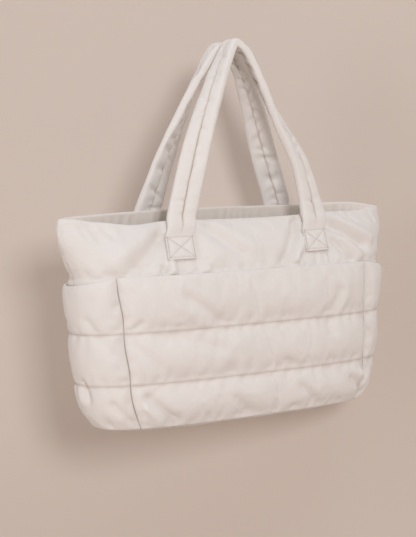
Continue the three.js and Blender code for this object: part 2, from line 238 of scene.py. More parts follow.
@dataclass(frozen=True)
class BagShape:
    """Named sizes of the bag body and the rules that place its cloth."""

    rim_width: float = 0.480
    mouth_opening: float = 0.084
    body_width: float = 0.431
    body_depth: float = 0.138
    base_width: float = 0.397
    base_depth: float = 0.131
    bottom_round: float = 0.009
    bottom_start: float = 0.93
    body_height: float = 0.256
    handle_drop: float = 0.208
    bag_offset: float = -0.011
    mouth_shift: float = 0.003
    base_shift: float = -0.005
    rim_dip: float = 0.010
    rim_lift: float = 0.006
    boxiness: float = 2.8
    wall: float = 0.005
    body_puff: float = 0.006
    seam_wall: float = 0.004
    hem_wall: float = 0.0026
    bottom_wall: float = 0.0022
    pocket_puff: float = 0.004
    pocket_height: float = 0.182
    corner_angle: float = 40.5
    corner_round: float = 0.016
    corner_wall: float = 0.2
    corner_firmness: float = 0.75
    groove_sway: float = 0.45
    groove_period: float = 0.255
    hem_reach: float = 0.014
    hem_puff: float = 0.35
    hem_start: float = 0.06
    panel_firmness: float = 0.35
    arch_gain: float = 1.6
    corners: tuple[CornerRow, ...] = (
        CornerRow(0.285, 36.5, 42.5),
        CornerRow(0.545, 38.8, 41.5),
        CornerRow(0.787, 39.8, 38.5),
        CornerRow(1.0, 39.2, 34.0),
    )
    mouth_roll: float = 0.0034
    roll_end: float = 0.335
    roll_firmness: float = 0.7
    wrap_end: float = 0.302
    tuck_depth: float = 0.85
    tuck_reach: float = 5.0
    tuck_rise: float = 0.04
    tip_puff: float = 1.15
    tip_gain: float = 2.2
    tip_drop: float = 0.0010
    tip_reach: float = 0.009
    rim_rows: tuple[RimRow, ...] = (
        RimRow(-0.160, 0.036, 0.0065, Side.FRONT),
        RimRow(-0.210, 0.020, 0.0025, Side.FRONT),
        RimRow(0.190, 0.034, 0.0028, Side.FRONT),
        RimRow(0.205, 0.060, -0.0040, Side.BACK),
    )
    patch_x: tuple[float, float] = (-0.0974, 0.1024)
    patch_lean: float = 0.0068
    patch_end: float = 0.209
    strap_width: float = 0.038
    strap_draw: float = 0.0028
    strap_reach: float = 0.011
    clearance: float = 0.0004
    channels: tuple[ChannelRow, ...] = (
        ChannelRow(0.0, 0.285, 0.85, 0.7),
        ChannelRow(0.285, 0.545, 1.0, 0.42),
        ChannelRow(0.545, 0.787, 0.95, 0.42),
        ChannelRow(0.787, 1.0, 0.9, 0.42),
    )

    @property
    def sections(self) -> tuple[SectionRow, ...]:
        """Sections of the body.

        Returns:
            Rows from the rim down to the base seam.
        """
        lowest = self.base_width * 0.4 + self.body_width * 0.6
        return (
            SectionRow(0.0, self.rim_width, self.mouth_opening, 1.9),
            SectionRow(0.08, self.rim_width * 0.985, self.body_depth * 0.69, 2.1),
            SectionRow(0.18, self.rim_width * 0.945, self.body_depth * 0.84, 2.4),
            SectionRow(0.285, self.body_width * 1.02, self.body_depth, self.boxiness),
            SectionRow(0.545, self.body_width, self.body_depth, self.boxiness),
            SectionRow(0.787, lowest, (self.body_depth + self.base_depth) / 2, self.boxiness),
            SectionRow(self.bottom_start, self.base_width, self.base_depth, self.boxiness),
            SectionRow(
                1.0,
                self.base_width - 2 * self.bottom_round,
                self.base_depth - self.bottom_round,
                self.boxiness,
            ),
        )

    @property
    def upper_end(self) -> float:
        """Share of the height where the upper wrap meets the pockets' line."""
        return self.channels[0].bottom

    @property
    def pocket_top(self) -> float:
        """Share of the height where the pocket mouths stand."""
        return 1 - self.pocket_height / self.body_height

    @property
    def seam_levels(self) -> list[float]:
        """Levels of the stitched lines below the pocket mouths."""
        return [c.bottom for c in self.channels[1:-1]]

    def section(self, down: Grid, name: str) -> Grid:
        """Value of one named column of the section table, eased between its rows."""
        rows = self.sections
        return eased(down, [r.down for r in rows], [getattr(r, name) for r in rows])

    def centre_x(self, down: Grid) -> Grid:
        """The body's leaning centre line: the mouth sits a little right of the base."""
        return self.bag_offset + mix(self.mouth_shift, self.base_shift, down)

    def outward(self, angle: Grid) -> Grid:
        """Outward direction that every layer of one column shares.

        Args:
            angle: Where round the body.

        Returns:
            Level unit vectors, with one more axis than the angles.
        """
        c, s = np.cos(np.radians(angle)), np.sin(np.radians(angle))
        power = 2 * (self.boxiness - 1) / self.boxiness
        x = -np.sign(c) * np.abs(c) ** power / self.body_width
        y = -np.sign(s) * np.abs(s) ** power / self.body_depth
        size = np.hypot(x, y)
        return np.stack([x / size, y / size, np.zeros_like(x)], -1)

    def skin(self, angle: Grid, down: Grid, swell: Grid | float = 0.0) -> Grid:
        """Point on the body's outer face.

        Args:
            angle: 0 is the left tip, 90 the front, 180 the right tip, 270 the back.
            down: Share of the height below the rim.
            swell: Distance outwards from the plain face.

        Returns:
            Points with one more axis than the arguments.
        """
        angle, down, swell = np.broadcast_arrays(angle, down, swell)
        c, s = np.cos(np.radians(angle)), np.sin(np.radians(angle))
        square = self.section(down, "square")
        x = -self.section(down, "width") / 2 * np.sign(c) * np.abs(c) ** (2 / square)
        y = -self.section(down, "depth") / 2 * np.sign(s) * np.abs(s) ** (2 / square)
        rise = np.where(s > 0, -self.rim_dip, self.rim_lift) * s * s
        fade = np.clip(1 - down / self.upper_end, 0, 1)
        from_tip = self.rim_width / 2 * (1 - np.abs(c) ** (2 / square))
        rise = rise - self.tip_drop * bell(from_tip, self.tip_reach)
        for row in self.rim_rows:
            weight = np.clip(2 * s * (1 if row.side is Side.FRONT else -1), 0, 1)
            rise = rise - row.drop * weight * bell(x - row.x, row.reach)
        z = -self.handle_drop - self.body_height * down + rise * fade
        flat = np.stack([self.centre_x(down) + x, y, z], -1)
        return flat + self.outward(angle) * swell[..., None]

    def channel_swell(self, down: Grid) -> Grid:
        """Swelling of the quilted channels.

        Args:
            down: Share of the height below the rim.

        Returns:
            0 on a stitched line and the channel's puff in its middle.
        """
        found = np.zeros_like(down)
        for row in self.channels:
            along = np.clip((down - row.top) / (row.bottom - row.top), 0, 1)
            inside = (down >= row.top) & (down <= row.bottom)
            bump = row.puff * np.maximum(np.sin(np.pi * along), 0) ** row.firmness
            found = np.where(inside, np.maximum(found, bump), found)
        return found

    def body_swell(self, angle: Grid, down: Grid) -> Grid:
        """Padding of the body: the upper wrap and the back panel swell.

        Args:
            angle: Where round the body.
            down: Share of the height below the rim.

        Returns:
            Distances outwards, less under the straps, which draw the cloth in.
        """
        angle, down = np.broadcast_arrays(angle, down)
        swell = np.where(angle <= 180, self.wrap_swell(angle, down), self.channel_swell(down))
        past_tip = np.minimum(np.abs(np.sin(np.radians(angle))) * self.tip_gain, 1)
        tip = mix(self.tip_puff, 1.0, past_tip)
        share = (angle - 180 - self.corner_angle) / (180 - 2 * self.corner_angle)
        inside = np.clip(share, 0, 1)
        panel = np.maximum(np.sin(np.pi * inside), 0) ** self.panel_firmness
        upper = (down <= self.upper_end) | (angle <= 180)
        plain = self.body_puff * swell * np.where(upper, tip, panel)
        roll_share = np.clip((down - self.upper_end) / (self.roll_end - self.upper_end), 0, 1)
        rounded = np.sin(np.pi * roll_share) ** self.roll_firmness
        roll = self.mouth_roll * self.gusset_arch(angle) * rounded
        return plain + np.maximum(roll, 0) - self.strap_dent(angle, down)

    def wrap_swell(self, angle: Grid, down: Grid) -> Grid:
        """Swelling of the front's upper wrap, which reaches a little behind the pockets.

        Args:
            angle: Where round the body.
            down: Share of the height below the rim.

        Returns:
            Shares of the puff, tucked in at the top of both grooves.
        """
        row = self.channels[0]
        along = np.clip(down / self.wrap_end, 0, 1)
        bump = row.puff * np.maximum(np.sin(np.pi * along), 0) ** row.firmness
        ends = (self.corners[0].left, 180 - self.corners[0].right)
        off = np.min([np.abs(angle - end) for end in ends], axis=0)
        low = np.clip((down - self.upper_end + self.tuck_rise) / self.tuck_rise, 0, 1)
        return bump * (1 - self.tuck_depth * low * bell(off, self.tuck_reach))

    def groove_angles(self, down: Grid) -> tuple[Grid, Grid]:
        """Angles of the grooves beside the front pocket.

        Args:
            down: Share of the height below the rim.

        Returns:
            Angles of the left and of the right groove.
        """
        levels = [row.down for row in self.corners]
        sway = np.sin(2 * np.pi * (down - levels[0]) / self.groove_period)
        left = eased(down, levels, [row.left for row in self.corners]) - self.groove_sway * sway
        return left, 180 - eased(down, levels, [row.right for row in self.corners])

    def gusset_arch(self, angle: Grid) -> Grid:
        """How far a place is inside a side wall.

        Args:
            angle: Where round the body.

        Returns:
            1 in the middle of a side wall, 0 at the corners and over front and back.
        """
        from_side = np.minimum(np.abs(((angle + 90) % 180) - 90), 90)
        across = np.cos(np.pi / 2 * np.minimum(from_side / self.corner_angle, 1))
        return np.minimum(across * self.arch_gain, 1)

    def strap_dent(self, angle: Grid, down: Grid) -> Grid:
        """How deep the sewn straps draw the cloth in around them.

        Args:
            angle: Where round the body.
            down: Share of the height below the rim.

        Returns:
            Depths of the same shape.
        """
        c = np.cos(np.radians(angle))
        half = self.section(down, "width") / 2
        x = -half * np.sign(c) * np.abs(c) ** (2 / self.section(down, "square"))
        lean = self.patch_lean * np.clip(down / self.patch_end, 0, 1)
        gap = np.min([np.abs(x - at + lean) for at in self.patch_x], axis=0) - self.strap_width / 2
        beside = bell(np.maximum(gap, 0), self.strap_reach)
        below = np.maximum(down - self.patch_end, 0) * self.body_height
        return self.strap_draw * beside * bell(below, self.strap_reach)

    def pocket_thickness(self, edge: Grid, down: Grid) -> Grid:
        """Thickness of a pocket's padded cloth.

        Args:
            edge: Distance to the nearer upright edge.
            down: Share of the height below the rim.

        Returns:
            Thin on the stitched lines and upright edges, full between them.
        """
        edge, down = np.broadcast_arrays(edge, down)
        turned = np.minimum(edge / self.corner_round, 1) * np.pi / 2
        rise = np.sin(turned) ** self.corner_firmness
        rounding = mix(self.corner_wall, 1, rise)
        found = np.zeros_like(down)
        for n, row in enumerate(self.channels[1:]):
            top = max(row.top, self.pocket_top)
            along = np.clip((down - top) / (row.bottom - top), 0, 1)
            start = self.hem_start if n == 0 else 0.0
            bump = row.puff * np.maximum(np.sin(np.pi * mix(start, 1, along)), 0) ** row.firmness
            inside = (down >= top) & (down <= row.bottom)
            found = np.where(inside, np.maximum(found, bump), found)
        reach = self.hem_reach / self.body_height
        from_mouth = np.clip((down - self.pocket_top) / reach, 0, 1)
        from_base = np.clip((1 - down) / reach, 0, 1)
        wall = mix(self.hem_wall, self.seam_wall, np.sqrt(from_mouth))
        wall = mix(self.bottom_wall, wall, np.sqrt(from_base))
        puff = self.pocket_puff * found * mix(self.hem_puff, 1, np.sqrt(from_mouth))
        return (wall + puff) * rounding

    def even_angles(self, start: float, end: float, pitch: float) -> Grid:
        """Angles evenly spaced along the body's outline.

        Args:
            start: First angle.
            end: Last angle.
            pitch: Wished distance between columns.

        Returns:
            The angles, both ends included.
        """
        fine = np.linspace(start, end, FINE_STEPS)
        c, s = np.cos(np.radians(fine)), np.sin(np.radians(fine))
        x = self.body_width / 2 * np.sign(c) * np.abs(c) ** (2 / self.boxiness)
        y = self.body_depth / 2 * np.sign(s) * np.abs(s) ** (2 / self.boxiness)
        length = np.concatenate([[0], np.cumsum(np.hypot(np.diff(x), np.diff(y)))])
        count = max(int(round(length[-1] / pitch)), 4)
        return np.interp(np.linspace(0, length[-1], count + 1), length, fine)

    def half_round(self, pitch: float) -> Grid:
        """Angles of the columns over half of the body.

        Args:
            pitch: Wished distance between columns.

        Returns:
            Angles from 0 up to the last one before 180, with one on each corner.
        """
        corner = self.corner_angle
        spans = [(0, corner), (corner, 180 - corner), (180 - corner, 180)]
        return np.concatenate([self.even_angles(a, b, pitch)[:-1] for a, b in spans])

    def angle_at(self, distance: Grid, down: Grid, side: Side) -> Grid:
        """Angle where the front or back has a given distance from its centre line.

        Args:
            distance: Distance to the right of the centre line.
            down: Share of the height below the rim.
            side: Front or back.

        Returns:
            Angles of the same shape.
        """
        half = self.section(down, "width") / 2
        c = -np.sign(distance) * (np.abs(distance) / half) ** (self.section(down, "square") / 2)
        angle = np.degrees(np.arccos(np.clip(c, -1, 1)))
        return angle if side is Side.FRONT else 360 - angle


@dataclass(frozen=True)
class FoldRow:
    """A soft fold from one place of a panel to another.

    x is the distance from the panel's centre line and down the share of the height.
    A positive height stands proud and a negative one is a crease.
    """

    x0: float
    down0: float
    x1: float
    down1: float
    width: float
    height: float


@dataclass(frozen=True)
class Puckers:
    """Small gathers that the thread draws into the cloth beside a stitched line."""

    spacing: float = 0.0150
    depth: float = 0.0030
    reach: float = 0.012
    width: float = 0.0038
    slant: float = 0.35
    seed: int = 1

    def field(self, along: Grid, away: Grid) -> Grid:
        """Depth of the gathers, to be taken off the cloth's face.

        Args:
            along: Distance along the line.
            away: Signed distance from the line.

        Returns:
            Depths of the same shape.
        """
        rng = np.random.default_rng(self.seed)
        start, end = float(along.min()), float(along.max())
        found = np.zeros_like(along)
        for sign in (-1, 1):
            near = np.where(np.sign(away) == sign, np.abs(away), 1.0)
            at = start
            while at < end:
                at += self.spacing * rng.uniform(0.55, 1.6)
                size = self.depth * rng.uniform(0.25, 1.2)
                reach = self.reach * rng.uniform(0.5, 1.5)
                width = self.width * rng.uniform(0.7, 1.4)
                slant = self.slant * rng.uniform(-1, 1)
                line = (along - at - slant * near) / (width * (1 + near / reach))
                found += size * bell(line, 1) * bell(near, reach)
        return found


@dataclass(frozen=True)
class ClothPress:
    """Settings of the cloth simulation that inflates a stitched panel."""

    pressure: float = 2.6
    growth: float = 0.009
    frames: int = 16
    quality: int = 4
    mass: float = 0.3
    stiffness: float = 12.0
    shear_share: float = 0.5
    bending: float = 0.3
    cap: float = 0.0032

    def relax(self, start: Grid, pins: Grid) -> Grid:
        """Inflates a panel whose pinned places stay where they are.

        Args:
            start: Rows and columns of points.
            pins: 1 where the cloth is stitched down, 0 where it is free.

        Returns:
            The points after the simulation, none moved further than the cap.
        """
        rows, columns = start.shape[:2]
        quads = grid_faces(rows, columns)
        mesh = bpy.data.meshes.new("panel_pattern")
        mesh.from_pydata(start.reshape(-1, 3).tolist(), [], quads)
        pattern = bpy.data.objects.new("panel_pattern", mesh)
        bpy.context.scene.collection.objects.link(pattern)
        group = pattern.vertex_groups.new(name="stitched")
        for index in np.flatnonzero(pins.ravel() > 0):
            group.add([int(index)], float(pins.ravel()[index]), "REPLACE")
        cloth = pattern.modifiers.new("cloth", "CLOTH")
        settings = cloth.settings
        settings.quality = self.quality
        settings.mass = self.mass
        settings.tension_stiffness = self.stiffness
        settings.compression_stiffness = self.stiffness
        settings.shear_stiffness = self.stiffness * self.shear_share
        settings.bending_stiffness = self.bending
        settings.use_pressure = True
        settings.uniform_pressure_force = self.pressure
        settings.shrink_min = -self.growth
        settings.vertex_group_mass = "stitched"
        settings.effector_weights.gravity = 0.0
        cloth.collision_settings.use_collision = False
        cloth.point_cache.frame_start = 1
        cloth.point_cache.frame_end = self.frames
        for number in range(1, self.frames + 1):
            bpy.context.scene.frame_set(number)
        done = pattern.evaluated_get(bpy.context.evaluated_depsgraph_get())
        flat = np.zeros(rows * columns * 3, np.float32)
        done.data.vertices.foreach_get("co", flat)
        bpy.data.objects.remove(pattern)
        bpy.data.meshes.remove(mesh)
        bpy.context.scene.frame_set(1)
        moved = flat.reshape(start.shape).astype(float) - start
        length = np.linalg.norm(moved, axis=-1, keepdims=True)
        log.info("cloth moved up to %.1f mm", length.max() * 1000)
        return start + moved * np.minimum(1, self.cap / np.maximum(length, 1e-9))


def grid_faces(rows: int, columns: int) -> list[tuple[int, ...]]:
    """Quads of an open grid of points, facing outwards.

    Args:
        rows: How many rows the grid has.
        columns: How many columns it has.

    Returns:
        Corner numbers of each quad.
    """
    i, j = np.meshgrid(np.arange(rows - 1), np.arange(columns - 1), indexing="ij")
    a = (i * columns + j).ravel()
    return np.stack([a, a + columns, a + columns + 1, a + 1], 1).tolist()


def strip(first: Grid, second: Grid, ring: bool = False) -> list[list[int]]:
    """Quads between two equal runs of corners.

    Args:
        first: Corner numbers along one run.
        second: Corner numbers along the other run.
        ring: Whether both runs close on themselves.

    Returns:
        Corner numbers of each quad.
    """
    quads = np.stack([first, second, np.roll(second, -1), np.roll(first, -1)], 1)
    return (quads if ring else quads[:-1]).tolist()


def strips(runs: list[Grid], ring: bool = False) -> list[list[int]]:
    """Quads from each run of corners to the next one."""
    return [quad for a, b in zip(runs, runs[1:]) for quad in strip(a, b, ring)]


def fan(hub: int, ring: Grid) -> list[list[int]]:
    """Triangles from one corner to a closed ring of corners."""
    return [[hub, int(a), int(b)] for a, b in zip(ring, np.roll(ring, -1))]


def grid_normals(points: Grid) -> Grid:
    """Unit normals of a grid whose rows run down and columns run to the right.

    Args:
        points: Rows and columns of points.

    Returns:
        A normal for each point.
    """
    down = np.gradient(points, axis=0)
    right = np.gradient(points, axis=1)
    normal = np.cross(down, right)
    return normal / np.maximum(np.linalg.norm(normal, axis=-1, keepdims=True), 1e-12)


def grid_lengths(points: Grid) -> tuple[Grid, Grid]:
    """Distance travelled along the rows and down the columns of a grid.

    Args:
        points: Rows and columns of points.

    Returns:
        Distances along the row from its middle, and down the column.
    """
    along = np.linalg.norm(np.diff(points, axis=1), axis=-1)
    along = np.concatenate([np.zeros((len(points), 1)), np.cumsum(along, 1)], 1)
    along -= along[:, [points.shape[1] // 2]]
    below = np.linalg.norm(np.diff(points, axis=0), axis=-1)
    below = np.concatenate([np.zeros((1, points.shape[1])), np.cumsum(below, 0)], 0)
    return along, below


def soft_folds(folds: tuple[FoldRow, ...], x: Grid, level: Grid, height: float) -> Grid:
    """Height of all the folds over a panel.

    Args:
        folds: Rows of the panel's table.
        x: Distance from the centre line.
        level: Distance below the rim.
        height: Height of the body, which turns shares into distances.

    Returns:
        Heights of the same shape as x.
    """
    found = np.zeros_like(x)
    for fold in folds:
        start = np.array([fold.x0, fold.down0 * height])
        run = np.array([fold.x1, fold.down1 * height]) - start
        length = float(np.hypot(*run))
        t = ((x - start[0]) * run[0] + (level - start[1]) * run[1]) / length**2
        off = ((x - start[0]) * -run[1] + (level - start[1]) * run[0]) / length
        past = (t - np.clip(t, 0, 1)) * length
        found += fold.height * bell(off, fold.width) * bell(past, fold.width)
    return found


@dataclass
class Shell:
    """A closed padded body between an outer and an inner sheet of cloth."""

    name: str
    outer: Grid
    inner: Grid
    shade: Grid
    ring: bool = False
    lip: float = 0.0
    edge_step: float = 0.002
    inner_step: float = 0.5

    def build(self, levels: int = 1) -> bpy.types.Object:
        """Makes the mesh, its cloth coordinates and its attribute of painted shade.

        Args:
            levels: Subdivisions that round the cloth.

        Returns:
            The finished object, with its place in its mesh.
        """
        rows, columns = self.outer.shape[:2]
        middle = (self.outer[0] + self.inner[0]) / 2
        middle[:, 2] += self.lip
        points = np.concatenate([self.outer.reshape(-1, 3), self.inner.reshape(-1, 3), middle])
        outer = np.arange(rows * columns).reshape(rows, columns)
        inner = outer + rows * columns
        rim = inner[-1] + columns
        faces = strips([inner[0], rim, *outer, *inner[::-1]], self.ring)
        if not self.ring:
            faces += strip(outer[:, 0], inner[:, 0]) + strip(inner[:, -1], outer[:, -1])
            faces.append([int(n) for n in (outer[0, 0], rim[0], inner[0, 0])])
            faces.append([int(n) for n in (outer[0, -1], inner[0, -1], rim[-1])])
        along, below = grid_lengths(self.outer)
        sheet = np.stack([along, -below], -1).reshape(-1, 2)
        edge = np.stack([along[0], below[0] + self.edge_step], -1)
        places = np.concatenate([sheet, sheet + [0.0, self.inner_step], edge])
        shade = np.concatenate([self.shade.ravel(), self.shade.ravel(), self.shade[0]])
        return dressed_mesh(self.name, points, faces, places, shade, levels)


def dressed_mesh(
    name: str,
    points: Grid,
    faces: list[list[int]],
    places: Grid,
    shade: Grid,
    levels: int,
) -> bpy.types.Object:
    """Makes one smooth object from points and faces.

    Args:
        name: The piece's name.
        points: Place of each corner.
        faces: Corners of each face.
        places: Cloth coordinates of each corner, in metres.
        shade: Painted shade of each corner, from 0 to 1, darkest in seam valleys, grooves and
            creases.
        levels: Subdivisions that round the cloth.

    Returns:
        The finished object, with no modifier left.
    """
    mesh = bpy.data.meshes.new(name)
    mesh.from_pydata(points.tolist(), [], faces)
    corners = np.zeros(len(mesh.loops), np.int32)
    mesh.loops.foreach_get("vertex_index", corners)
    layer = mesh.uv_layers.new(name="cloth")
    layer.data.foreach_set("uv", places[corners].astype(np.float32).ravel())
    # The stitched attribute carries painted shade: where it is high, the material darkens the cloth
    # in seam valleys, grooves and creases.
    attribute = mesh.attributes.new("stitched", "FLOAT", "POINT")
    attribute.data.foreach_set("value", shade.astype(np.float32))
    piece = bpy.data.objects.new(name, mesh)
    bpy.context.scene.collection.objects.link(piece)
    if levels:
        rounding = piece.modifiers.new("rounding", "SUBSURF")
        rounding.levels = rounding.render_levels = levels
        settle(piece)
    piece.data.shade_smooth()
    return piece


def settle(piece: bpy.types.Object) -> None:
    """Turns a piece and its modifiers into one plain mesh.

    Args:
        piece: The piece, whose modifiers are applied and removed.
    """
    graph = bpy.context.evaluated_depsgraph_get()
    done = bpy.data.meshes.new_from_object(
        piece.evaluated_get(graph), preserve_all_data_layers=True, depsgraph=graph
    )
    old = piece.data
    piece.modifiers.clear()
    piece.data = done
    done.name = piece.name
    if isinstance(old, bpy.types.Mesh):
        bpy.data.meshes.remove(old)


class ThreadLines:
    """Collects the paths that stitches follow, on the finished cloth."""

    def __init__(self) -> None:
        """Starts with no path."""
        self.points: list[Grid] = []
        self.normals: list[Grid] = []

    def add(self, points: Grid, normals: Grid, lift: float = 0.0002) -> None:
        """Adds one path, a little above the cloth."""
        self.points.append(points + normals * lift)
        self.normals.append(normals)

    def along(self, piece: bpy.types.Object, corners: list[int]) -> None:
        """Adds the path over some corners of a finished piece.

        Args:
            piece: The piece.
            corners: Numbers of its corners, in order.
        """
        found = [piece.data.vertices[n] for n in corners]
        points, normals = [v.co for v in found], [v.normal for v in found]
        self.add(np.array(points, float), np.array(normals, float))


def number_input(tree: bpy.types.NodeTree, name: str, value: float) -> None:
    """Adds a number with its usual value to the inputs of a node group."""
    made = tree.interface.new_socket(name, in_out="INPUT", socket_type="NodeSocketFloat")
    made.default_value = value


Wire = tuple[bpy.types.Node, str, bpy.types.Node, str]


def wire(tree: bpy.types.NodeTree, wires: tuple[Wire, ...]) -> None:
    """Links named outputs to named inputs.

    Args:
        tree: The tree of the nodes.
        wires: Source, output, target and input of each link.
    """
    for source, output, target, taken in wires:
        tree.links.new(source.outputs[output], target.inputs[taken])


@dataclass(frozen=True)
class Thread:
    """Geometry Nodes tree that sews separate stitches along paths."""

    pitch: float = 0.0032
    length: float = 0.0023
    thickness: float = 0.00065
    segments: int = 6
    rings: int = 4

    def sizes(self) -> dict[str, float]:
        """Values of the tree's number inputs, by their names."""
        names = ("Pitch", "Stitch Length", "Thread Thickness")
        return dict(zip(names, (self.pitch, self.length, self.thickness)))

    def tree(self) -> bpy.types.NodeTree:
        """Builds the tree, which ends in realized stitches with their material.

        Returns:
            The node tree with its named inputs.
        """
        tree = bpy.data.node_groups.new("sewn_thread", "GeometryNodeTree")
        face = tree.interface
        face.new_socket("Paths", in_out="INPUT", socket_type="NodeSocketGeometry")
        for name, value in self.sizes().items():
            number_input(tree, name, value)
        face.new_socket("Finish", in_out="INPUT", socket_type="NodeSocketMaterial")
        face.new_socket("Stitches", in_out="OUTPUT", socket_type="NodeSocketGeometry")
        nodes = tree.nodes
        given, result = nodes.new("NodeGroupInput"), nodes.new("NodeGroupOutput")
        to_curve = nodes.new("GeometryNodeMeshToCurve")
        spread = nodes.new("GeometryNodeCurveToPoints")
        spread.mode = "LENGTH"
        bead = nodes.new("GeometryNodeMeshUVSphere")
        bead.inputs["Segments"].default_value = self.segments
        bead.inputs["Rings"].default_value = self.rings
        bead.inputs["Radius"].default_value = 0.5
        size = nodes.new("ShaderNodeCombineXYZ")
        place = nodes.new("GeometryNodeInstanceOnPoints")
        outward = nodes.new("GeometryNodeInputNamedAttribute")
        outward.data_type = "FLOAT_VECTOR"
        outward.inputs["Name"].default_value = "outward"
        turn = nodes.new("FunctionNodeAxesToRotation")
        turn.primary_axis, turn.secondary_axis = "X", "Z"
        realize = nodes.new("GeometryNodeRealizeInstances")
        finish = nodes.new("GeometryNodeSetMaterial")
        wire(tree, (
            (given, "Paths", to_curve, "Mesh"),
            (to_curve, "Curve", spread, "Curve"),
            (given, "Pitch", spread, "Length"),
            (spread, "Points", place, "Points"),
            (bead, "Mesh", place, "Instance"),
            (spread, "Tangent", turn, "Primary Axis"),
            (outward, "Attribute", turn, "Secondary Axis"),
            (turn, "Rotation", place, "Rotation"),
            (given, "Stitch Length", size, "X"),
            (given, "Thread Thickness", size, "Y"),
            (given, "Thread Thickness", size, "Z"),
            (size, "Vector", place, "Scale"),
            (place, "Instances", realize, "Geometry"),
            (realize, "Geometry", finish, "Geometry"),
            (given, "Finish", finish, "Material"),
            (finish, "Geometry", result, "Stitches"),
        ))
        return tree

    def sew(self, name: str, lines: ThreadLines, finish: bpy.types.Material) -> bpy.types.Object:
        """Sews stitches along every collected path.

        Args:
            name: The piece's name.
            lines: Paths on the finished cloth.
            finish: Material of the thread.

        Returns:
            One plain mesh of stitches.
        """
        points = np.concatenate(lines.points)
        normals = np.concatenate(lines.normals)
        edges, start = [], 0
        for path in lines.points:
            edges += [(start + n, start + n + 1) for n in range(len(path) - 1)]
            start += len(path)
        mesh = bpy.data.meshes.new(name)
        mesh.from_pydata(points.tolist(), edges, [])
        attribute = mesh.attributes.new("outward", "FLOAT_VECTOR", "POINT")
        attribute.data.foreach_set("vector", normals.astype(np.float32).ravel())
        piece = bpy.data.objects.new(name, mesh)
        bpy.context.scene.collection.objects.link(piece)
        tree = self.tree()
        sewing = piece.modifiers.new("sewing", "NODES")
        sewing.node_group = tree
        wanted = {**self.sizes(), "Finish": finish}
        for item in tree.interface.items_tree:
            if item.item_type == "SOCKET" and item.in_out == "INPUT" and item.name in wanted:
                sewing[item.identifier] = wanted[item.name]
        settle(piece)
        return piece


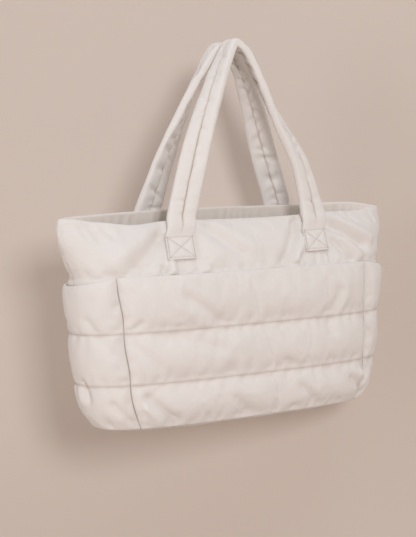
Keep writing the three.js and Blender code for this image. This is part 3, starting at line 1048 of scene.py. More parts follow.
@dataclass
class BodyHalf:
    """Front or back half of the bag's wall, with its upper wrap and, behind, its quilting."""

    shape: BagShape
    side: Side
    press: ClothPress
    pitch: float = 0.0031
    roll_bands: int = 6
    hidden_bands: int = 7
    lip: float = 0.0012
    # Painted shade along the back's quilted seam valleys, and its width.
    seam_shade: float = 0.7
    shade_width: float = 0.0012
    folds: tuple[FoldRow, ...] = ()
    ripples: tuple[RippleRow, ...] = (RippleRow(0.0008, 38, 30), RippleRow(0.0003, 110, 90))
    piece: bpy.types.Object | None = field(default=None, init=False)

    def rows(self) -> Grid:
        """Levels of the rows.

        Returns:
            Shares of the height, close together where the cloth shows.
        """
        shape = self.shape
        upper = int(round(shape.upper_end * shape.body_height / self.pitch))
        found = [np.linspace(0, shape.upper_end, upper + 1)[:-1]]
        if self.side is Side.FRONT:
            roll = np.linspace(shape.upper_end, shape.roll_end, self.roll_bands + 1)
            hidden = np.linspace(shape.roll_end, shape.bottom_start, self.hidden_bands + 1)
            found += [roll[:-1], hidden]
            return np.concatenate([*found, [1.0]])
        for row in shape.channels[1:]:
            bands = int(round((row.bottom - row.top) * shape.body_height / self.pitch))
            found.append(np.linspace(row.top, row.bottom, bands + 1)[:-1])
        return np.concatenate([*found, [1.0]])

    def columns(self) -> Grid:
        """Angles from one side seam round to the other, both included."""
        half = np.append(self.shape.half_round(self.pitch), 180.0)
        return half if self.side is Side.FRONT else half + 180

    def under_straps(self, angle: Grid, down: Grid) -> Grid:
        """Where a strap is sewn on or lies against the cloth.

        Args:
            angle: Where round the body.
            down: Share of the height below the rim.

        Returns:
            1 under a strap, and 0 elsewhere.
        """
        shape = self.shape
        x = shape.skin(angle, down)[..., 0] - shape.centre_x(down)
        lean = shape.patch_lean * np.clip(down / shape.patch_end, 0, 1)
        gap = np.min([np.abs(x - at + lean) for at in shape.patch_x], axis=0)
        return ((gap < shape.strap_width / 2) & (down < shape.patch_end)).astype(float)

    def build(self) -> bpy.types.Object:
        """Lofts, inflates and folds the cloth.

        Returns:
            The finished wall.
        """
        shape = self.shape
        levels, angles = self.rows(), self.columns()
        down, angle = np.meshgrid(levels, angles, indexing="ij")
        seam = np.isclose(angle % 180, 0) * self.side.value * shape.clearance / 2
        outer = shape.skin(angle, down, shape.body_swell(angle, down))
        inner = shape.skin(angle, down, -shape.wall)
        outer[..., 1] += seam
        inner[..., 1] += seam
        stitched = [0.0, *shape.seam_levels, 1.0]
        if self.side is Side.BACK:
            stitched.insert(1, shape.upper_end)
        pins = self.under_straps(angle, down)
        for level in stitched:
            pins[np.isclose(down, level)] = 1.0
        pins[:, [0, -1]] = 1.0
        around = (angle % 180) / 180
        free_panel = np.abs(around - 0.5) < 0.5 - shape.corner_angle / 180
        pins[(down > shape.upper_end) & ~free_panel] = 1.0
        if self.side is Side.FRONT:
            shown = int(np.searchsorted(levels, shape.upper_end)) + 1
            pins[shown - 1 :] = 1.0
        else:
            shown = len(levels)
        outer[:shown] = self.press.relax(outer[:shown], pins[:shown])
        along, _ = grid_lengths(outer)
        along = along + outer[:1, [outer.shape[1] // 2], 0]
        level = down * shape.body_height
        lift = soft_folds(self.folds, along, level, shape.body_height)
        lift += SoftNoise(11 + self.side.value).over(along, level, self.ripples)
        for n, seam_level in enumerate([shape.upper_end, *shape.seam_levels, 1.0]):
            away = (down - seam_level) * shape.body_height
            lift -= Puckers(seed=50 + n + 7 * self.side.value).field(along, away)
        outer += grid_normals(outer) * (lift * (1 - pins))[..., None]
        # Painted shade: the back is darkened along its quilted seam valleys, the front not at all.
        if self.side is Side.FRONT:
            name, shade = "front_wall", np.zeros_like(lift)
        else:
            near = np.min([np.abs(down - s) for s in stitched[1:]], axis=0) * shape.body_height
            name, shade = "back_wall", self.seam_shade * bell(near, self.shade_width)
        self.piece = Shell(name, outer, inner, shade, lip=self.lip).build()
        return self.piece

    def seam_corners(self) -> list[list[int]]:
        """Stitched lines that show.

        Returns:
            Corner numbers along each of them, none for the front.
        """
        if self.side is Side.FRONT:
            return []
        levels, angles = self.rows(), self.columns()
        edge = self.shape.corner_angle
        shown = np.flatnonzero((angles > 180 + edge) & (angles < 360 - edge))
        seams = [self.shape.upper_end, *self.shape.seam_levels]
        rows = [int(np.argmin(np.abs(levels - level))) for level in seams]
        return [[row * len(angles) + int(n) for n in shown] for row in rows]


@dataclass
class Pocket:
    """A padded pocket that lies on the body and stands off it at its mouth."""

    shape: BagShape
    name: str
    place: Flank | None
    gape: float
    droop: float
    press: ClothPress
    pitch: float = 0.0031
    groove: float = 0.02
    middle_level: float = 0.6
    mouth_fade: int = 3
    seam_depth: float = 0.0030
    bottom_depth: float = 0.0040
    edge_spacing: float = 0.018
    # Painted shade along the quilted seam valleys and in the grooves at the upright edges.
    seam_shade: float = 0.7
    seam_shade_width: float = 0.0012
    edge_shade: float = 0.25
    edge_shade_width: float = 0.0035
    folds: tuple[FoldRow, ...] = ()
    ripples: tuple[RippleRow, ...] = (RippleRow(0.0008, 34, 30), RippleRow(0.0003, 120, 100))
    seed: int = 3
    lip: float = 0.0017
    levels: Grid | None = field(default=None, init=False)
    angles: Grid | None = field(default=None, init=False)
    piece: bpy.types.Object | None = field(default=None, init=False)

    def edges(self, down: Grid) -> tuple[Grid, Grid]:
        """Where both upright edges stand.

        Args:
            down: Share of the height below the rim.

        Returns:
            Angles of the first and of the last edge.
        """
        left, right = self.shape.groove_angles(down)
        back = np.full_like(down, self.shape.corner_angle)
        if self.place is Flank.LEFT:
            return -back + self.groove, left - self.groove
        if self.place is Flank.RIGHT:
            return right + self.groove, 180 + back - self.groove
        return left + self.groove, right - self.groove

    def layer(self, share: float) -> Grid:
        """Points of one face of the pocket.

        Args:
            share: 0 for the face on the body, 1 for the outer face.

        Returns:
            Rows and columns of points.
        """
        shape = self.shape
        down = np.broadcast_to(self.levels[:, None], (len(self.levels), len(self.angles)))
        start, end = self.edges(self.levels)
        spread = (self.angles - self.angles[0]) / (self.angles[-1] - self.angles[0])
        angle = start[:, None] + (end - start)[:, None] * spread[None, :]
        plain = shape.skin(self.angles, np.full_like(self.angles, self.middle_level))
        steps = np.linalg.norm(np.diff(plain, axis=0), axis=1)
        length = np.concatenate([[0], np.cumsum(steps)])
        across = length / length[-1]
        arch = np.sin(np.pi * across)[None, :]
        reach = shape.channels[1].bottom - shape.pocket_top
        depth = np.clip((down - shape.pocket_top) / reach, 0, 1)
        open_arch = np.minimum(arch * shape.arch_gain, 1)
        stand = shape.clearance + self.gape * open_arch * (1 - depth) ** self.mouth_fade
        edge = np.minimum(length, length[-1] - length)[None, :]
        thickness = share * shape.pocket_thickness(edge, down)
        points = shape.skin(angle, down, stand + thickness)
        points[..., 2] -= self.droop * arch * (1 - depth)
        return points

    def build(self) -> bpy.types.Object:
        """Lofts, inflates and folds the pocket.

        Returns:
            The finished pocket.
        """
        shape = self.shape
        start, end = self.edges(np.array([self.middle_level]))
        self.angles = shape.even_angles(float(start[0]), float(end[0]), self.pitch)
        tops = [shape.pocket_top, *shape.seam_levels, 1.0]
        spans = []
        for top, bottom in zip(tops, tops[1:]):
            bands = int(round((bottom - top) * shape.body_height / self.pitch))
            spans.append(np.linspace(top, bottom, bands + 1)[:-1])
        self.levels = np.concatenate([*spans, [1.0]])
        outer, inner = self.layer(1.0), self.layer(0.0)
        down = np.broadcast_to(self.levels[:, None], outer.shape[:2])
        pins = np.zeros(outer.shape[:2])
        pins[[0, -1]] = 1.0
        pins[:, [0, -1]] = 1.0
        for level in shape.seam_levels:
            pins[np.isclose(down, level)] = 1.0
        outer = self.press.relax(outer, pins)
        along, below = grid_lengths(outer)
        lift = soft_folds(self.folds, along, down * shape.body_height, shape.body_height)
        lift += SoftNoise(self.seed).over(along, below, self.ripples)
        for n, seam_level in enumerate([*shape.seam_levels, 1.0]):
            away = (down - seam_level) * shape.body_height
            depth = self.bottom_depth if seam_level == 1.0 else self.seam_depth
            lift -= Puckers(depth=depth, seed=self.seed * 9 + n).field(along, away)
        edges = (along - along[:, :1], along[:, -1:] - along)
        for n, side in enumerate(edges):
            beside = Puckers(spacing=self.edge_spacing, seed=self.seed * 9 + 5 + n)
            lift -= beside.field(below, side)
        outer += grid_normals(outer) * (lift * (1 - pins))[..., None]
        # Painted shade: darker along the seam valleys and beside the upright edges, in the grooves
        # between pockets.
        near = np.min([np.abs(down - s) for s in shape.seam_levels], axis=0) * shape.body_height
        shade = self.seam_shade * bell(near, self.seam_shade_width)
        shade = shade + self.edge_shade * bell(np.minimum(*edges), self.edge_shade_width)
        self.piece = Shell(self.name, outer, inner, np.minimum(shade, 1), lip=self.lip).build()
        return self.piece

    def seam_corners(self) -> list[list[int]]:
        """Stitched lines of the pocket.

        Returns:
            Corner numbers along each of them.
        """
        wide = len(self.angles)
        rows = [int(np.argmin(np.abs(self.levels - s))) for s in self.shape.seam_levels]
        return [[row * wide + n for n in range(1, wide - 1)] for row in rows]


@dataclass
class BasePanel:
    """Padded base that closes the body below its bottom seam."""

    shape: BagShape
    puff: float = 0.005
    rim_wall: float = 0.0006
    rim_inset: float = 0.003
    flatness: int = 5
    ripples: tuple[RippleRow, ...] = (RippleRow(0.0010, 30, 30),)
    pitch: float = 0.0031
    rings: int = 24

    def build(self) -> bpy.types.Object:
        """Makes the pillow-shaped base.

        Returns:
            The finished base.
        """
        shape = self.shape
        half = shape.half_round(self.pitch)
        angles = np.concatenate([half, half + 180])
        share = (np.arange(self.rings) + 1) / self.rings
        middle = float(shape.centre_x(np.array(1.0)))
        edge = shape.skin(angles, 1.0, -self.rim_inset)
        top = -shape.handle_drop - shape.body_height - shape.clearance
        flat = np.zeros((self.rings, len(angles), 3))
        flat[..., 0] = middle + (edge[None, :, 0] - middle) * share[:, None]
        flat[..., 1] = edge[None, :, 1] * share[:, None]
        upper, lower = flat.copy(), flat.copy()
        upper[..., 2] = top
        bump = SoftNoise(31).over(flat[..., 0], flat[..., 1], self.ripples)
        sag = self.puff * (1 - share[:, None] ** self.flatness)
        bump = bump * (1 - share[:, None] ** (self.flatness + 1))
        lower[..., 2] = top - self.rim_wall - sag + bump
        centre = np.array([[middle, 0, top], [middle, 0, top - self.rim_wall - self.puff]])
        points = np.concatenate([centre, upper.reshape(-1, 3), lower.reshape(-1, 3)])
        above = 2 + np.arange(self.rings * len(angles)).reshape(self.rings, -1)
        below = above + above.size
        faces = fan(0, above[0]) + fan(1, below[0][::-1])
        faces += strips([*above, *below[::-1]], ring=True)
        shade = np.zeros(len(points))
        return dressed_mesh("padded_base", points, faces, points[:, :2], shade, 0)


@dataclass
class MouthFacing:
    """Band of thinner cloth inside the mouth, gathered towards the two tips."""

    shape: BagShape
    height: float = 0.034
    set_down: float = 0.0012
    wall: float = 0.0012
    gather: float = 0.0042
    wave: float = 0.013
    wave_drift: float = 4.0
    tip_gather: float = 0.7
    least_gather: float = 0.5
    # Painted shade under the rim at the band's top edge and in the gathers' valleys.
    rim_shade: float = 0.5
    rim_shade_width: float = 0.003
    wave_shade: float = 0.25
    gap: float = 0.0006
    rows: int = 12
    pitch: float = 0.0024
    length: float = field(default=0.0, init=False)

    def build(self) -> bpy.types.Object:
        """Lofts the band and gathers it.

        Returns:
            The finished band.
        """
        shape = self.shape
        half = shape.half_round(self.pitch)
        angles = np.concatenate([half, half + 180])
        top = self.set_down / shape.body_height
        bottom = top + self.height / shape.body_height
        down, angle = np.meshgrid(np.linspace(top, bottom, self.rows), angles, indexing="ij")
        plain = shape.skin(angle, down, -shape.wall)
        along, below = grid_lengths(plain)
        tip = np.abs(np.cos(np.radians(angle))) ** 6
        noise = SoftNoise(41)
        drift = self.wave_drift * noise.at(along * 22 + NOISE_ORIGIN, below * 12)
        size = (1 + noise.at(along * 40 + 3 * NOISE_ORIGIN, below)) / 2
        waves = np.sin(along * 2 * np.pi / self.wave + drift) * size
        fade = np.sin(np.pi * np.clip((down - top) / (bottom - top), 0.0, 1)) ** 0.5
        amount = (self.tip_gather * tip + self.least_gather) * self.gather
        ripple = (0.5 + 0.5 * waves) * amount * fade
        outer = shape.skin(angle, down, -shape.wall - self.gap - ripple)
        inner = shape.skin(angle, down, -shape.wall - self.gap - ripple - self.wall)
        loop = np.concatenate([outer, outer[:, :1]], axis=1)
        self.length = float(np.linalg.norm(np.diff(loop, axis=1), axis=-1).sum(1).mean())
        # Painted shade: darker along the top edge under the rim and in the valleys of the gathers.
        shade = self.rim_shade * bell(below, self.rim_shade_width)
        shade = shade + self.wave_shade * np.clip(0.5 - waves, 0, 1) * fade
        return Shell("mouth_band", outer, inner, shade, ring=True, lip=0.0003).build()


@dataclass(frozen=True)
class LegRow:
    """Where the four handle legs stand at one height, and how deep their crease is.

    The height is a share of the way from the rim to the crown. The places are shares of
    the way from the crown out to the patches.
    """

    up: float
    front_left: float
    front_right: float
    back_left: float
    back_right: float
    groove: float


@dataclass
class Station:
    """One section of a strap along its way."""

    point: Grid
    outward: Grid | None
    twist: float
    thickness: float
    width: float
    groove: float
    distance: float = 0.0
    down: float = 0.0
    hold: float = 0.0


@dataclass(frozen=True)
class StrapLine:
    """Centre line of a strap with its directions and sizes, a row for each step."""

    centre: Grid
    outward: Grid
    across: Grid
    sizes: dict[str, Grid]

    def read(self, index: Grid) -> "StrapLine":
        """The same line, read at fractional steps.

        Args:
            index: Steps along the line.

        Returns:
            A line with one row for each of them.
        """
        steps = np.arange(len(self.centre))
        rows = [
            np.stack([np.interp(index, steps, table[:, n]) for n in range(3)], 1)
            for table in (self.centre, self.outward, self.across)
        ]
        sizes = {name: np.interp(index, steps, column) for name, column in self.sizes.items()}
        return StrapLine(*rows, sizes)


@dataclass
class Handle:
    """A padded strap from patch to patch that turns on edge at the crown."""

    shape: BagShape
    side: Side
    width: float = 0.038
    thickness: float = 0.012
    crown_width: float = 0.028
    patch_spacing: float = 0.202
    patch_height: float = 0.032
    patch_drop: float = 0.0215
    patch_thickness: float = 0.0030
    crown_spacing: float = 0.031
    crown_x: float = -0.0035
    seat: float = 0.0006
    rim_left: float = -0.0950
    rim_right: float = 0.1025
    outer_groove: float = 0.92
    inner_groove: float = 0.5
    lobe_steps: int = 18
    pitch: float = 0.0015
    inset: float = 0.0024
    patch_spread: float = 0.005
    patch_curve: float = 0.6
    cap_shares: tuple[float, float] = (0.9895, 0.955)
    cap_step: float = 0.0006
    cap_reach: float = 0.0014
    crown_dip: float = 0.0012
    crown_groove: float = 0.4
    rim_hold: float = 0.6
    free_start: float = 0.016
    free_reach: float = 0.03
    bump_rows: tuple[RippleRow, ...] = (RippleRow(0.0005, 60, 60),)
    outer_puckers: Puckers = Puckers(0.019, 0.0026, 0.013, 0.0030, 0.8)
    inner_puckers: Puckers = Puckers(0.016, 0.0034, 0.014, 0.0031, 0.7)
    # Painted shade in the strap's middle groove.
    groove_shade_width: float = 0.0014
    patch_puff: float = 0.0018
    patch_draw: float = 0.0012
    # Painted shade along the patches' stitched creases.
    patch_shade_depth: float = 0.55
    patch_shade_width: float = 0.0010
    thread_sink: float = 0.0010
    legs: tuple[LegRow, ...] = (
        LegRow(0.29, 0.715, 0.92, 0.73, 0.82, 0.95),
        LegRow(0.55, 0.50, 0.61, 0.525, 0.63, 0.72),
        LegRow(0.73, 0.33, 0.415, 0.37, 0.49, 0.6),
        LegRow(0.86, 0.20, 0.265, 0.225, 0.36, 0.5),
        LegRow(0.955, 0.09, 0.12, 0.11, 0.18, 0.4),
    )
    line: StrapLine | None = field(default=None, init=False)

    def seated(self, distance: float, down: float, thickness: float, lift: float) -> Station:
        """Section that lies on the body.

        Args:
            distance: Distance from the body's centre line.
            down: Share of the height below the rim.
            thickness: Thickness of the strap here.
            lift: Gap to the cloth below.

        Returns:
            The section with its outward direction.
        """
        x, level = np.array(distance), np.array(down)
        outward = self.cloth_normal(x, level)
        point = self.cloth_point(x, level) + outward * (thickness / 2 + lift)
        return Station(point, outward, 0.0, thickness, self.width, 0.0, distance, down, 1.0)

    def cloth_point(self, distance: Grid, down: Grid) -> Grid:
        """Point on the swollen cloth of the wall."""
        angle = self.shape.angle_at(distance, down, self.side)
        return self.shape.skin(angle, down, self.shape.body_swell(angle, down))

    def cloth_normal(self, distance: Grid, down: Grid) -> Grid:
        """Outward direction of the wall, without its small dents.

        Args:
            distance: Distance from the body's centre line.
            down: Share of the height below the rim.

        Returns:
            Unit vectors, with one more axis than the distances.
        """
        shape, step = self.shape, 0.002

        def plain(x: Grid, level: Grid) -> Grid:
            """Point on the wall before it swells."""
            return shape.skin(shape.angle_at(x, level, self.side), level)

        right = plain(distance + step, down) - plain(distance - step, down)
        below = plain(distance, down + step) - plain(distance, np.maximum(down - step, 0))
        normal = -self.side.value * np.cross(below, right)
        return normal / np.linalg.norm(normal, axis=-1, keepdims=True)

    def laid(self, line: StrapLine, across: Grid, out: Grid) -> Grid:
        """Points of the strap, bent over the wall's cloth where it is sewn down.

        Args:
            line: The centre line at every section.
            across: Distance across the strap, a row for each section.
            out: Distance outwards from its middle.

        Returns:
            Points with one more axis than the distances.
        """
        free = (
            line.centre[:, None]
            + line.across[:, None] * across[..., None]
            + line.outward[:, None] * out[..., None]
        )
        distance = line.sizes["distance"][:, None] + across * np.sign(line.across[:, :1])
        down = np.broadcast_to(line.sizes["down"][:, None], across.shape)
        lift = line.sizes["thickness"][:, None] / 2 + self.seat + out
        sewn = self.cloth_point(distance, down)
        sewn = sewn + self.cloth_normal(distance, down) * lift[..., None]
        return mix(free, sewn, line.sizes["hold"][:, None, None])

    def leg(self, sign: int) -> list[Station]:
        """Sections of one leg from its patch up to just below the crown.

        Args:
            sign: -1 for the left leg and 1 for the right one.

        Returns:
            The sections, from the patch's lower end upwards.
        """
        height = self.shape.body_height
        patch_x = sign * self.patch_spacing / 2
        sewn_x = self.shape.patch_x[0 if sign < 0 else 1]
        rim_x = self.rim_left if sign < 0 else self.rim_right
        top, bottom = self.patch_drop / height, (self.patch_drop + self.patch_height) / height
        lean, thin = self.shape.patch_lean, self.patch_thickness
        rows = [
            (sewn_x - lean * (1 - 0.5 * t), mix(bottom, top, t), thin)
            for t in (0, 0.25, 0.5, 0.75, 1)
        ]
        rows.append((mix(sewn_x, rim_x, 0.5), top / 2, self.thickness * 0.75))
        rows.append((rim_x, 0.0, self.thickness))
        found = [self.seated(*row, self.seat) for row in rows]
        found[-2].groove, found[-1].groove = 0.35, 0.95
        found[-1].hold = self.rim_hold
        rim = found[-1].point
        name = self.side.name.lower() + ("_left" if sign < 0 else "_right")
        for row in self.legs:
            place = np.array(
                [
                    (self.shape.bag_offset + patch_x) * getattr(row, name),
                    mix(rim[1], self.side.value * self.crown_spacing / 2, row.up),
                    mix(rim[2], self.thickness / 2, row.up),
                ]
            )
            width = mix(self.width, self.crown_width, row.up)
            twist = row.up * math.pi / 2
            found.append(
                Station(place, None, twist, self.thickness, width, row.groove, rim_x)
            )
        return found

    def stations(self) -> list[Station]:
        """Every section of the strap.

        Returns:
            Sections from the left patch over the crown to the right patch.
        """
        y = self.side.value * self.crown_spacing / 2
        top = np.array([self.crown_x, y, self.thickness / 2 - self.crown_dip])
        groove = self.crown_groove
        crown = Station(top, None, math.pi / 2, self.thickness, self.crown_width, groove)
        return [*self.leg(-1), crown, *reversed(self.leg(1))]

    def path(self, keys: list[Station]) -> tuple[Grid, Grid]:
        """Smooth line through the stations, walked in even steps.

        Args:
            keys: The stations.

        Returns:
            Points of the line, and their place among the stations.
        """
        p = np.array([k.point for k in keys])
        p = np.concatenate([[2 * p[0] - p[1]], p, [2 * p[-1] - p[-2]]])
        points, places = [], []
        for n in range(1, len(p) - 2):
            gap = np.maximum(np.linalg.norm(np.diff(p[n - 1 : n + 3], axis=0), axis=1) ** 0.5, 1e-6)
            a, b, c, d = p[n - 1 : n + 3]
            t1 = ((b - a) / gap[0] - (c - a) / (gap[0] + gap[1]) + (c - b) / gap[1]) * gap[1]
            t2 = ((c - b) / gap[1] - (d - b) / (gap[1] + gap[2]) + (d - c) / gap[2]) * gap[1]
            t = np.linspace(0, 1, 80, endpoint=False)[:, None]
            points.append(hermite(t, b, c, t1, t2))
            places.append(n - 1 + t[:, 0])
        line = np.concatenate([*points, [p[-2]]])
        place = np.concatenate([*places, [len(keys) - 1.0]])
        length = np.concatenate([[0], np.cumsum(np.linalg.norm(np.diff(line, axis=0), axis=1))])
        even = np.linspace(0, length[-1], int(length[-1] / self.pitch) + 1)
        spaced = np.stack([np.interp(even, length, line[:, n]) for n in range(3)], 1)
        return spaced, np.interp(even, length, place)

    def frames(self) -> StrapLine:
        """Centre line of the strap with its directions and sizes.

        Returns:
            Points, outward and across directions, and the named sizes at each point.
        """
        keys = self.stations()
        centre, place = self.path(keys)
        tangent = np.gradient(centre, axis=0)
        tangent /= np.linalg.norm(tangent, axis=1, keepdims=True)
        slot = np.minimum(place.astype(int), len(keys) - 2)
        blend = (place - slot)[:, None]
        panel = np.array([0.0, self.side.value, 0.0])

        def facing(number: Grid) -> Grid:
            """Outward direction of a station at every point.

            Args:
                number: The station's number for each point.

            Returns:
                A direction for each point.
            """
            found = np.zeros_like(centre)
            for n, key in enumerate(keys):
                mine = number == n
                if key.outward is not None:
                    found[mine] = key.outward
                    continue
                loop = np.stack([-tangent[mine, 2], 0 * tangent[mine, 0], tangent[mine, 0]], 1)
                found[mine] = panel * math.cos(key.twist) + loop * math.sin(key.twist)
            return found

        outward = mix(facing(slot), facing(slot + 1), blend)
        outward = smoothed(outward, 9)
        outward -= tangent * np.sum(outward * tangent, 1, keepdims=True)
        outward /= np.linalg.norm(outward, axis=1, keepdims=True)
        across = np.cross(outward, tangent)
        sizes = {}
        for name in ("width", "thickness", "groove", "down", "hold"):
            column = np.array([getattr(key, name) for key in keys])
            sizes[name] = smoothed(np.interp(place, np.arange(len(keys)), column)[:, None], 5)[:, 0]
        column = np.array([key.distance for key in keys])
        sizes["distance"] = np.interp(place, np.arange(len(keys)), column)
        return StrapLine(centre, outward, across, sizes)

    def profile(self, sizes: dict[str, Grid]) -> tuple[Grid, Grid]:
        """Closed outline of the strap at every station.

        Args:
            sizes: Width, thickness and groove share at each station.

        Returns:
            Distances across and outwards, a row for each station.
        """
        turn = np.linspace(0, np.pi, self.lobe_steps + 1)
        reach = (1 + np.cos(turn)) / 2
        inner_half = turn > np.pi / 2
        bulge = np.maximum(np.sin(turn), 0) ** np.where(inner_half, 0.36, 0.6)

        def lobe(share: float) -> Grid:
            """Height of one lobe from the strap's edge to its middle."""
            floor = (1 - share * sizes["groove"])[:, None]
            return np.where(inner_half, floor + (1 - floor) * bulge, bulge)

        half_w = sizes["width"][:, None] / 2
        half_t = sizes["thickness"][:, None] / 2
        outer, inner = lobe(self.outer_groove) * half_t, -lobe(self.inner_groove) * half_t
        right = reach * half_w
        across = np.concatenate(
            [right[:, :-1], -right[:, ::-1][:, :-1], -right[:, :-1], right[:, ::-1][:, :-1]], 1
        )
        out = np.concatenate(
            [outer[:, :-1], outer[:, ::-1][:, :-1], inner[:, :-1], inner[:, ::-1][:, :-1]], 1
        )
        return across, out

    def build(self) -> bpy.types.Object:
        """Sweeps the padded strap with its puckers and sewn patches.

        Returns:
            The finished strap.
        """
        line = self.frames()
        sizes = line.sizes
        across, out = self.profile(sizes)
        steps, around = across.shape
        walked = np.arange(steps)[:, None] * self.pitch * np.ones((1, around))
        total = (steps - 1) * self.pitch
        from_end = np.minimum(walked, total - walked)
        half_w = sizes["width"][:, None] / 2
        face = np.sign(out + 1e-9)
        free = np.clip((from_end - self.patch_height - self.free_start) / self.free_reach, 0, 1)
        seed = 60 + self.side.value
        outer_gathers = replace(self.outer_puckers, seed=seed).field(walked, across)
        inner_gathers = replace(self.inner_puckers, seed=seed + 5).field(walked, across)
        bumps = SoftNoise(seed).over(walked, across, self.bump_rows)
        middle = 1 - np.minimum(np.abs(across) / half_w, 1) ** 4
        out += free * face * (bumps - middle * np.where(face > 0, outer_gathers, inner_gathers))
        out += self.patch_relief(walked, total, across, half_w, face)
        points = self.laid(line, across, out)
        self.line = line
        girth = np.cumsum(np.abs(np.diff(across, axis=1, prepend=across[:, :1])), 1)
        # Painted shade: darker in the middle groove and along the patches' stitched creases.
        shade = bell(across, self.groove_shade_width) * sizes["groove"][:, None]
        shade = np.maximum(shade, self.patch_shade(walked, total, across, half_w, face))
        rings = np.arange(steps * around).reshape(steps, around)
        faces = strips(list(rings[::-1]), ring=True)
        caps, closing = self.caps(points)
        faces += closing
        name = "front_handle" if self.side is Side.FRONT else "back_handle"
        everything = np.concatenate([points.reshape(-1, 3), caps])
        places = np.stack([walked, girth], -1).reshape(-1, 2)
        places = np.concatenate([places, np.zeros((len(caps), 2))])
        shades = np.concatenate([shade.ravel(), np.zeros(len(caps))])
        return dressed_mesh(name, everything, faces, places, shades, 0)

    def patch_relief(
        self, walked: Grid, total: float, across: Grid, half_w: Grid, face: Grid
    ) -> Grid:
        """Relief of the sewn squares: drawn in along the stitches, puffed between them.

        Args:
            walked: Distance along the strap.
            total: Length of the strap.
            across: Distance across the strap.
            half_w: Half of the strap's width.
            face: 1 on the outer face and -1 on the inner one.

        Returns:
            Heights of the same shape.
        """
        lines, within = self.patch_distance(walked, total, across, half_w, face)
        rise = np.clip(lines / self.patch_spread, 0, 1) ** self.patch_curve
        puff = self.patch_puff * rise - self.patch_draw
        return np.where(within, puff, 0.0)

    def patch_shade(
        self, walked: Grid, total: float, across: Grid, half_w: Grid, face: Grid
    ) -> Grid:
        """Painted shade along a patch's stitched creases, with the arguments of its relief."""
        lines, within = self.patch_distance(walked, total, across, half_w, face)
        return within * self.patch_shade_depth * bell(lines, self.patch_shade_width)

    def patch_distance(
        self, walked: Grid, total: float, across: Grid, half_w: Grid, face: Grid
    ) -> tuple[Grid, Grid]:
        """Distance to the nearest stitched line of a patch.

        Args:
            walked: Distance along the strap.
            total: Length of the strap.
            across: Distance across the strap.
            half_w: Half of the strap's width.
            face: 1 on the outer face and -1 on the inner one.

        Returns:
            The distances, and whether each place is on a patch's outer face.
        """
        along = np.minimum(walked, total - walked)
        size = self.patch_height
        half = half_w - self.inset
        inside_x = half - np.abs(across)
        inside_y = (size / 2 - self.inset) - np.abs(along - size / 2)
        u, v = across / half, (along - size / 2) / (size / 2 - self.inset)
        square = np.minimum(np.abs(inside_x), np.abs(inside_y))
        cross = np.minimum(np.abs(u - v), np.abs(u + v)) * half * 0.7
        cross = np.where((np.abs(u) < 1) & (np.abs(v) < 1), cross, 1.0)
        return np.minimum(square, cross), (along < size) & (face > 0)

    def caps(self, points: Grid) -> tuple[Grid, list[list[int]]]:
        """Closes both ends of the strap with shrinking rings.

        Args:
            points: Every section.

        Returns:
            The added corners and the faces that close both ends.
        """
        steps, around = points.shape[:2]
        added: list[Grid] = []
        faces: list[list[int]] = []
        start = steps * around
        for end, inwards in ((0, 1), (steps - 1, -1)):
            ring = points[end]
            middle = ring.mean(0)
            back = middle - points[end + inwards * 2].mean(0)
            back /= np.linalg.norm(back)
            runs = [np.arange(around) + end * around]
            for n, share in enumerate(self.cap_shares):
                added.append(middle + (ring - middle) * share + back * self.cap_step * (n + 1))
                runs.append(np.arange(around) + start)
                start += around
            added.append(middle[None] + back * self.cap_reach)
            faces += strips(runs if inwards > 0 else runs[::-1], ring=True)
            faces += fan(start, runs[-1][::-inwards])
            start += 1
        return np.concatenate(added), faces

    def patch_lines(self, lines: ThreadLines) -> None:
        """Adds the square and the crossed lines of both sewn patches.

        Args:
            lines: Where the paths are collected.
        """
        size, inset, half = self.patch_height, self.inset, self.width / 2 - self.inset
        corners = [(-half, inset), (half, inset), (half, size - inset), (-half, size - inset)]
        a, b, c, d = corners
        runs = [(a, b), (b, c), (c, d), (d, a), (a, c), (b, d)]
        for end, sign in ((0, 1), (len(self.line.centre) - 1, -1)):
            for (x0, s0), (x1, s1) in runs:
                t = np.linspace(0, 1, 24)
                line = self.line.read(end + sign * mix(s0, s1, t) / self.pitch)
                lift = np.full((len(t), 1), self.patch_thickness / 2 - self.thread_sink)
                points = self.laid(line, mix(x0, x1, t)[:, None], lift)[:, 0]
                lines.add(points, line.outward)

    def centre_line(self, lines: ThreadLines) -> None:
        """Adds the stitched line along the middle of the strap's inner face.

        Args:
            lines: Where the path is collected.
        """
        line = self.line
        skip = int((self.patch_height + self.free_reach) / self.pitch)
        keep = slice(skip, len(line.centre) - skip)
        depth = self.thickness / 2 * (1 - self.inner_groove * line.sizes["groove"][keep, None])
        lines.add(line.centre[keep] - line.outward[keep] * depth, -line.outward[keep])


def smoothed(values: Grid, window: int) -> Grid:
    """Running mean along the first axis, with the ends held.

    Args:
        values: Rows of values.
        window: Odd number of rows that are averaged.

    Returns:
        Values of the same shape.
    """
    half = window // 2
    first, last = np.repeat(values[:1], half, 0), np.repeat(values[-1:], half, 0)
    padded = np.concatenate([first, values, last])
    kernel = np.ones(window) / window
    return np.stack([np.convolve(column, kernel, "valid") for column in padded.T], 1)


